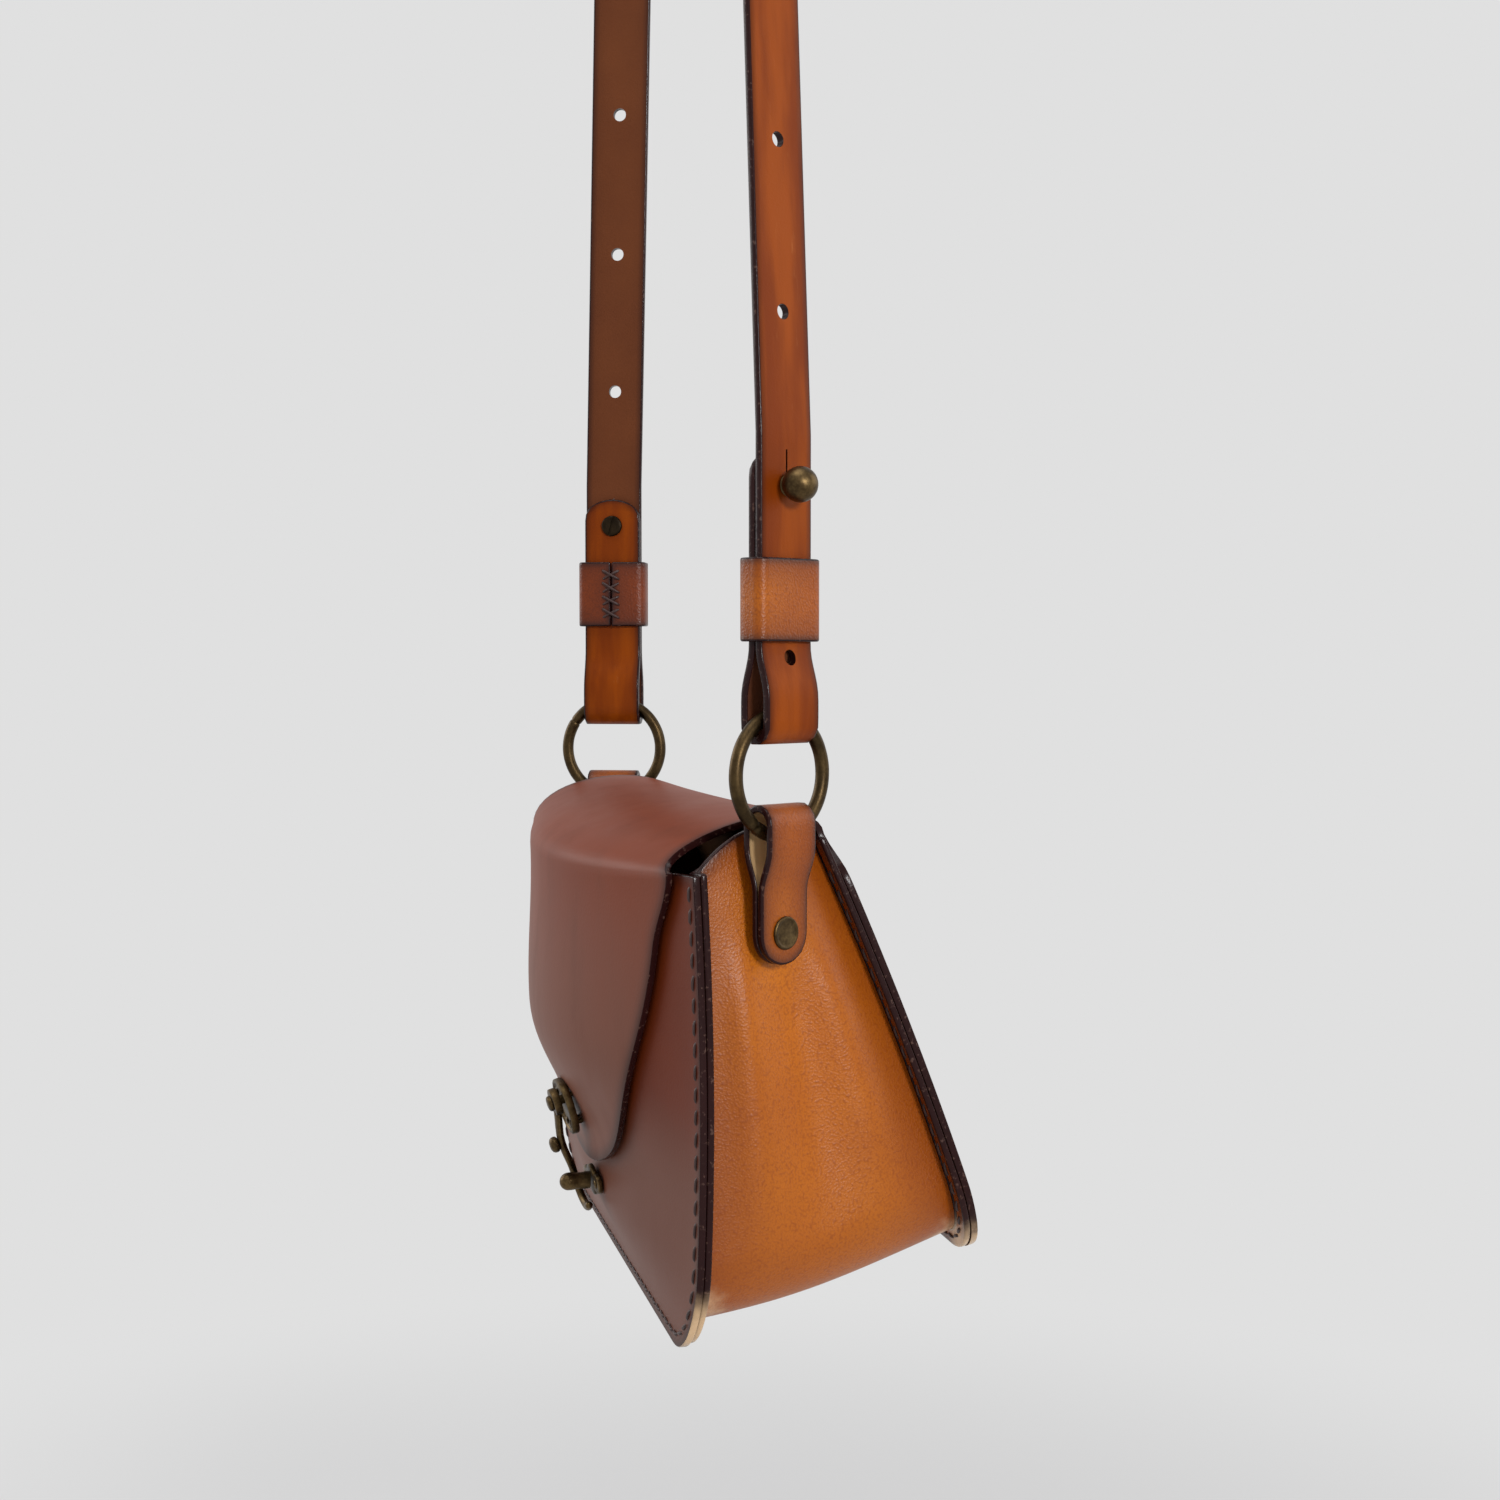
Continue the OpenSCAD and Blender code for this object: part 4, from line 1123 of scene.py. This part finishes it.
# %% [markdown]
# ## One stitch
# A stitch is a short piece of thread that rises from one hole and dives into the next. A sphere
# is drawn out along X, made blunt at its ends and bent down there. One is modelled, and every
# stitch of the bag is a copy with its own mesh.

# %% One stitch and its copies
DIVE = 0.8                                    # how deep its two ends go


def thread_piece():
    """One stitch of length 1 along X."""
    bpy.ops.mesh.primitive_uv_sphere_add(segments=8, ring_count=12, radius=0.5)
    obj = bpy.context.object
    for vertex in obj.data.vertices:
        way, y, z = 2 * vertex.co.z, vertex.co.x, vertex.co.y
        full = (1 - min(1, abs(way)) ** 5) ** 0.2
        size = math.hypot(y, z)
        grow = THREAD_D / 2 * full / size if size > 1e-6 else 0
        vertex.co = (way / 2, y * grow, z * grow - DIVE * abs(way) ** 4)
    close_up(obj, 1e-5, 40)
    obj.data.materials.append(THREAD)
    return obj


one_stitch = thread_piece()


def stitch(a, b, outward, lift):
    """A copy of the stitch from a to b, lying on a face that looks outward."""
    made = one_stitch.copy()
    made.data = one_stitch.data.copy()
    bpy.context.collection.objects.link(made)
    run = b - a
    x = run.normalized()
    y = outward.cross(x).normalized()
    z = x.cross(y)
    middle = (a + b) / 2 + outward * lift * MM
    for vertex in made.data.vertices:
        vertex.co = middle + run * vertex.co.x + (y * vertex.co.y + z * vertex.co.z) * MM
    return made


print("one stitch:", len(one_stitch.data.polygons), "faces")

# %% [markdown]
# ## Keepers
# A keeper is a short band closed round both layers of the strap. Its ends meet edge to edge on
# the inner side, where four crossed stitches hold them. It is a strip once more, laid round the
# strap, and its two faces stand out a little in their middle.

# %% Keepers and their cross stitches
KEEPER_H, KEEPER_T, KEEPER_HALF, KEEPER_BEND = 23.0, 1.8, (3.775, 11.25), 1.5
KEEPER_BOW, BUTT, FACE_STEP = 0.5, 0.15, 1.5
KEEPER_FOOT = {"near": 37.0, "far": 44.0}
CROSSES, CROSS_HALF, CROSS_RISE = 4, 3.2, 0.4


def keeper_line():
    """Round the strap from one side of the butt joint to the other, out and across."""
    half_out, half_across = KEEPER_HALF
    line = [(-half_out, BUTT + FACE_STEP * i) for i in range(7)]
    for out_sign, across_sign, start in ((-1, 1, 2), (1, 1, 1), (1, -1, 0), (-1, -1, -1)):
        middle = (out_sign * (half_out - KEEPER_BEND), across_sign * (half_across - KEEPER_BEND))
        for i in range(7):
            a = math.pi / 2 * (start - i / 6)
            line.append((middle[0] + KEEPER_BEND * math.cos(a),
                         middle[1] + KEEPER_BEND * math.sin(a)))
    line += [(-half_out, -BUTT - FACE_STEP * i) for i in reversed(range(7))]
    return [(o * (1 + KEEPER_BOW / half_out * (1 - (c / half_across) ** 2)), c) for o, c in line]


def make_keeper(where):
    end, foot = ENDS[where], KEEPER_FOOT[where]
    out, _, up = ring_axes(end)
    stations = [(at_ring(end, o, c, foot + KEEPER_H / 2), up) for o, c in keeper_line()]
    # the far keeper takes the tan with painted shade
    keeper = ribbon("keeper_band_" + where, stations, KEEPER_H, KEEPER_T, out,
                    (STRAP_TAN if end > 0 else TAN_PAINTED_SHADE, FLESH, EDGE), round_edge=0.55, step=1.1)
    dress(keeper, "keeper_" + where, "tan_leather")
    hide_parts("keeper_" + where)
    face, pitch = -KEEPER_HALF[0] - KEEPER_BOW - KEEPER_T / 2, KEEPER_H / (CROSSES + 1)
    threads = []
    for i in range(1, CROSSES + 1):
        z = foot + pitch * i
        for slope, lift in ((1, 0.25), (-1, 0.75)):
            rise = slope * pitch * CROSS_RISE * random.uniform(0.9, 1.1)
            threads.append(stitch(at_ring(end, face, -CROSS_HALF, z - rise),
                                  at_ring(end, face, CROSS_HALF, z + rise), -out, lift))
    crosses = join(threads)
    crosses.name = "keeper_crosses_" + where
    dress(crosses, "keeper_" + where, "thread")
    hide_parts("keeper_stitches_" + where)


for where in ENDS:
    make_keeper(where)
print("keepers with", CROSSES, "crosses each made")

# %% [markdown]
# ## Saddle stitching
# The seams are sewn by hand with two needles, so the stitches show on both faces and lean a
# little. A curve could carry them, but copies that follow the seam at an even pitch can each
# lean by their own amount.

# %% Seam stitches
STITCH_HALF, SLANT, SEAM_LIFT = 0.4, (0.25, 0.45), 0.2


def sew(name, side, faces, start):
    """faces holds, for each face of the seam, its y at (x, z) and the sign of its outside."""
    near = [Vector(outline(side, HALF_WAY * i / 90, STITCH_IN)[:2]) for i in range(91)]
    chain = near + mirrored(reversed(near))[1:]
    total = sum((b - a).length for a, b in zip(chain, chain[1:]))
    count = round((total - 2 * start) / STITCH_PITCH)
    half = STITCH_HALF * STITCH_PITCH / total
    threads = []
    for y_at, sign in faces:
        def point(p):
            return hang(p.x, y_at(p.x, p.y), p.y)
        for i in range(count):
            middle = (start + (i + 0.5) * (total - 2 * start) / count) / total
            a, b = along(chain, middle - half), along(chain, middle + half)
            run = (b - a).normalized()
            slant = Vector((run.y, -run.x)) * random.uniform(*SLANT) * sign
            a, b = a + slant, b - slant
            here = point((a + b) / 2)
            outward = (point((a + b) / 2 + Vector((1, 0))) - here).cross(
                point((a + b) / 2 + Vector((0, 1))) - here).normalized()
            if outward.y * sign < 0:
                outward = -outward
            threads.append(stitch(point(a), point(b), outward, SEAM_LIFT))
    obj = join(threads)
    obj.name = obj.data.name = "thread_of_" + name
    dress(obj, "bag", "thread")
    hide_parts(name)
    print(name + ":", count, "stitches on each face")


sew("front_stitching", "front",
    ((front_y, -1), (lambda x, z: flange_y("front", x, z), 1)), 2.0)
sew("back_stitching", "back",
    ((lambda x, z: flange_y("back", x, z), -1), (back_y, 1)), 9.0)
bpy.data.objects.remove(one_stitch)

# %% [markdown]
# ## Studs, screws and tab rivets
# The ball stud is turned in one piece with its neck. A slotted screw closes it from inside the
# strap. The tab's rivet is low and flat topped, with a raised rim. All three are turned here too,
# each from its own profile of (radius, height).

# %% Studs, screws and tab rivets
BALL_R, BALL_AT, RIVET_Z, SLOT_SIZES = 5.0, 7.775, -44.0, (9, 1.3, 0.8)
SCREW_OUT, SLOT_OUT, RIVET_OUT = -2.7, -4.0, 2.2     # out of the bag, from the ring's centre
SLOT_TURN = {"near": 0.5, "far": 1.3}         # how far each screw was turned, in radians
ball = [(BALL_R * math.cos(a), BALL_AT + BALL_R * math.sin(a))
        for a in (math.radians(-60 + 10 * i) for i in range(16))]
STUD_PROFILE = ([(0, -2.5), (1.95, -2.5), (1.95, 2.6), (2.9, 2.75), (3.0, 2.85), (3.0, 3.05),
                 (2.85, 3.2)] + ball[:-1] + [(0, BALL_AT + BALL_R)])
SCREW_PROFILE = [(0, 0), (3.5, 0), (3.65, 0.12), (3.7, 0.3), (3.66, 0.62), (3.5, 0.88),
                 (3.1, 1.06), (2.2, 1.16), (0, 1.2)]
RIVET_PROFILE = [(0, -8.4), (1.7, -8.4), (1.7, 0), (4.55, 0), (4.68, 0.08), (4.7, 0.3),
                 (4.62, 0.56), (4.42, 0.74), (4.15, 0.78), (3.9, 0.7), (3.65, 0.58), (3.2, 0.54),
                 (1.8, 0.6), (0, 0.62)]


def fasteners(where):
    end, slot_turn = ENDS[where], SLOT_TURN[where]
    out, across, up = ring_axes(end)
    stud = turned_piece("brass_stud_" + where, STUD_PROFILE,
                        lambda x, y, h: at_ring(end, h, x, STUD_Z + y))
    screw = turned_piece("brass_stud_screw_" + where, SCREW_PROFILE,
                         lambda x, y, h: at_ring(end, SCREW_OUT - h, x, STUD_Z + y))
    slot_way = across * math.cos(slot_turn) + up * math.sin(slot_turn)
    screw.data.materials.append(DARK_BRASS)
    cut(screw, [bar(at_ring(end, SLOT_OUT, 0, STUD_Z), slot_way, out, SLOT_SIZES)], DARK_BRASS)
    rivet = turned_piece("brass_tab_rivet_" + where, RIVET_PROFILE,
                         lambda x, y, h: at_ring(end, RIVET_OUT + h, x, RIVET_Z + y))
    for obj, body, brass in ((stud, "strap", BRASS), (screw, "strap", DARK_BRASS),
                             (rivet, "bag", BRASS)):
        dress(obj, body, "antique_brass", brass)
        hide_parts(obj.name[len("brass_"):])


for where in ENDS:
    fasteners(where)
print("studs, screws and rivets made")

# %% [markdown]
# ## The clasp
# A cast plate is riveted to the flap. A curved lever turns on its pivot, and its open hook
# passes round a post on the front panel. The plate lies on the flap's slope, so the clasp has
# its own axes there, and the post has another set below.

# %% Axes of the clasp and the post
PIVOT_DROP, LEVER_LEN, PLATE_UP, PLATE_H, PLATE_T, PLATE_SEAT = 97.5, 28.0, 6.48, 18.0, 1.6, 1.3
TILT = 0.5 * math.atan((front_y(0, PLATE_UP - PLATE_H - PIVOT_DROP)
                        - front_y(0, PLATE_UP - PIVOT_DROP)) / PLATE_H)
CLASP_Y = front_y(0, -PIVOT_DROP) - FLAP_GAP - LEATHER - PLATE_SEAT
POST_DROP = PIVOT_DROP + LEVER_LEN * math.cos(TILT)
POST_FACE = front_y(0, -POST_DROP) - 3 * SEAT


def at_clasp(x, z, out):
    return hang(x, CLASP_Y - out * math.cos(TILT) - z * math.sin(TILT),
                -PIVOT_DROP - out * math.sin(TILT) + z * math.cos(TILT))


def at_post(x, z, out):
    return hang(x, POST_FACE - out, -POST_DROP + z)


def metal(obj, node, body):
    obj.name = obj.data.name = "brass_" + node
    dress(obj, body, "antique_brass", BRASS)
    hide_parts(node)


print("the plate leans by", round(math.degrees(TILT), 1), "degrees")

# %% [markdown]
# ### Plates, pivot, rivets and post
# The flap's plate is a soft square, narrower below, with two raised rims. The post's plate is a
# disc with two ears. Both are turned pieces whose outline isn't round. The profiles give each
# piece its rolled edges.

# %% Plates, pivot, rivets and post
NARROWS, NARROW_FROM, NARROW_OVER = 0.17, 2, 11      # share, start and length down the plate


def plate_place(x, z, out):
    narrow = 1 - NARROWS * ease((NARROW_FROM - z) / NARROW_OVER)
    return at_clasp(x * narrow, z + PLATE_UP - PLATE_H / 2, out)


def squarish(angle, power=2.5, half=9.0):
    return half / (abs(math.cos(angle)) ** power + abs(math.sin(angle)) ** power) ** (1 / power)


def eared(angle, r=5.0, ear_r=3.2, ear_at=6.4):
    """A disc with a round ear at each side."""
    aside = abs(ear_at * math.sin(angle))
    reach = abs(ear_at * math.cos(angle)) + math.sqrt(max(0.0, ear_r ** 2 - aside ** 2))
    return max(r, reach) if aside < ear_r else r


TWO_RIMS = [(0, 0), (0.96, 0), (0.99, 0.12), (1, 0.35), (1, 1.9), (0.985, 2.2), (0.95, 2.38),
            (0.91, 2.38), (0.88, 2.2), (0.86, 1.9), (0.83, 1.72), (0.78, 1.72), (0.755, 1.9),
            (0.73, 2.08), (0.695, 2.08), (0.67, 1.9), (0.645, 1.66), (0.6, 1.6), (0.3, 1.6),
            (0, 1.6)]
EDGED = [(0, 0), (0.95, 0), (0.99, 0.1), (1, 0.35), (1, 1.2), (0.98, 1.42), (0.93, 1.56),
         (0.86, 1.6), (0.5, 1.6), (0, 1.6)]
PIVOT = [(0, 0.1), (1.5, 0.1), (1.5, 5.35), (2.3, 5.4), (2.48, 5.55), (2.5, 5.9), (2.4, 6.3),
         (2.0, 6.62), (1.2, 6.77), (0, 6.8)]
RIVET_HEAD = [(0.8, 1.6), (1.35, 1.64), (1.38, 1.8), (1.2, 2.02), (0.8, 2.18), (0, 2.24)]
POST_R, POST_DOME = 2.8, 6.7
POST = ([(0, 0), (2.75, 0), (2.75, 1.2), (2.6, 2.6), (2.62, 4.2), (2.78, 5.6)]
        + [(POST_R * math.cos(a), POST_DOME + POST_R * math.sin(a))
           for a in (math.radians(11.25 * i) for i in range(8))] + [(0, POST_DOME + POST_R)])


def small_rivets(name, body, place, spots, deep):
    made = [turned_piece(name, [(0, -deep), (0.8, -deep)] + RIVET_HEAD,
                         lambda x, z, h: place(x + spot[0], z + spot[1], h), steps=24)
            for spot in spots]
    metal(join(made), name, body)


metal(turned_piece("plate", TWO_RIMS, plate_place, squarish, 96), "clasp_plate", "flap")
metal(turned_piece("foot", EDGED, at_post, eared, 96), "post_plate", "bag")
metal(turned_piece("pivot", PIVOT, at_clasp, steps=32), "clasp_pivot", "flap")
small_rivets("plate_rivets", "flap", at_clasp,
             [(4.86, 1.94), (-4.86, 1.94), (2.43, -7.92), (-2.43, -7.92)], 3.2)
small_rivets("post_rivets", "bag", at_post, [(6.4, 0), (-6.4, 0)], 4.0)
post_foot = at_post(0, 0, PLATE_T + 0.1) + FORWARD * 0.5 * MM
metal(turned_piece("post", POST, lambda x, z, h: post_foot + Vector((x, -h, z)) * MM, steps=32),
      "clasp_post", "bag")
print("plates, pivot, rivets and post made")

# %% [markdown]
# ### Lever and knob
# The lever is a bent bar that is wider at its eye and ends in an open hook. A rod along its
# middle line, bowed away from the bag, gives the bar, and a turned eye is joined to it. The
# knob is for the thumb.

# %% Lever and knob
HOOK_R, HOOK_Z, ARM_DEPTH = 6.75, -LEVER_LEN - 0.8, 1.2
ARM_OUT, ARM_BOW, ARM_WIDE, ARM_SLIM, HOOK_THINS = 4.1, 1.5, 2.3, 1.45, 0.25
lever_line = [(0, -3.2), (-0.35, -5.5), (-0.9, -8.2), (-1.6, -11), (-2.3, -13.8), (-3.1, -16.6),
              (-3.9, -19.2), (-4.5, -21.4), (-5.1, -23.2)]
lever_line += [(HOOK_R * math.cos(a), HOOK_Z + HOOK_R * math.sin(a))
               for a in (math.radians(148 + 7.5 * i) for i in range(22))]
count = len(lever_line)
bows = [ARM_OUT + ARM_BOW * math.sin(math.pi * clamp(-z / 26)) ** 2 for x, z in lever_line]
widths = [mix(ARM_WIDE, ARM_SLIM, ease(i / 5)) - HOOK_THINS * ease((i - count + 7) / 6)
          for i in range(count)]
EYE = [(1.6, 2.9), (4.1, 2.9), (4.32, 3.0), (4.4, 3.3), (4.4, 4.9), (4.32, 5.2), (4.1, 5.3),
       (1.6, 5.3), (1.6, 2.9)]
KNOB = [(0, 4.6), (1.5, 4.6), (1.5, 6.3), (1.9, 6.6), (2.45, 7.0), (2.6, 7.6), (2.5, 8.3),
        (2.1, 8.9), (1.3, 9.3), (0, 9.42)]
KNOB_AT = (-3.24, -14)
eye = turned_piece("eye", EYE, at_clasp, steps=48)
arm = rod("arm", [at_clasp(x, z, out) for (x, z), out in zip(lever_line, bows)], widths,
          [ARM_DEPTH] * count, FORWARD)
metal(join([eye, arm]), "swing_lever", "lever")
metal(turned_piece("knob", KNOB, lambda x, z, h: at_clasp(x + KNOB_AT[0], z + KNOB_AT[1], h),
                   steps=32), "lever_knob", "lever")
print("lever and knob made")

# %% [markdown]
# ## Floor and background
# The photograph has a plain pale grey background. A floor catches a soft shadow and fades into
# the background with distance, so no horizon shows. The world is that same grey to the camera
# and in reflections, and a darker fill light for everything else.

# %% Floor and background
GREY, FLOOR_GREY, BLACK, FILL = (srgb(224, 224, 224), srgb(226, 226, 226), (0.0, 0.0, 0.0),
                                 (0.24, 0.24, 0.245))
FLOOR_Z, FLOOR_SIZE, FADE_FROM, FADE_TO = -0.90, 14, 0.25, 0.75      # metres
bpy.ops.mesh.primitive_plane_add(size=FLOOR_SIZE, location=(0, 0, FLOOR_Z))
bpy.ops.object.transform_apply(location=True)
floor = bpy.context.object
floor.name = "floor"
paint = Paint("floor_paint", Roughness=0.9, Specular_IOR_Level=0.0, Emission_Strength=1.0)
on_floor = paint.vector("MULTIPLY", paint.place(), (1.0, 1.0, 0.0))
far_off = paint.vector("LENGTH", on_floor, output="Value").between(FADE_FROM, FADE_TO)
floor.data.materials.append(paint.shade(Base_Color=paint.blend(far_off, FLOOR_GREY, BLACK),
                                        Emission_Color=paint.blend(far_off, BLACK, GREY)))

world = bpy.data.worlds.new("studio")
bpy.context.scene.world = world
world.use_nodes = True
sky = Nodes(world.node_tree)


def ray(kind): return sky.node("ShaderNodeLightPath", output=kind)


shown = ray("Is Camera Ray").largest(ray("Is Glossy Ray")).largest(ray("Is Transmission Ray"))
background = world.node_tree.nodes["Background"]
sky.put(background.inputs["Color"], sky.blend(shown, FILL, GREY))
background.inputs["Strength"].default_value = 1.0
print("floor at", FLOOR_Z, "m")

# %% [markdown]
# ## Light
# Four round, soft lights stand round the bag: a small key light beyond the near end, which draws
# the highlights on the gusset's folds, and large ones in front, above and behind.

# %% Lights
LIGHTS = (("key", (1.36, 0.24, -0.12), -0.58, 0.3, 12),      # name, place, aim, size, power
          ("front", (-1.1, -1.3, 0.1), -0.58, 1.2, 14),
          ("top", (0.3, -0.3, 0.8), -0.5, 1.0, 8),
          ("back", (0.2, 1.6, 0.1), -0.5, 1.2, 6))
for name, at, aim_z, size, power in LIGHTS:
    data = bpy.data.lights.new(name, "AREA")
    data.shape, data.size, data.energy = "DISK", size, power
    light = bpy.data.objects.new(name, data)
    bpy.context.collection.objects.link(light)
    light.location = at
    light.rotation_euler = (Vector((0, 0, aim_z)) - Vector(at)).to_track_quat("-Z", "Y").to_euler()
bpy.context.scene.view_settings.view_transform = "Standard"
print("lights:", [name for name, *rest in LIGHTS])
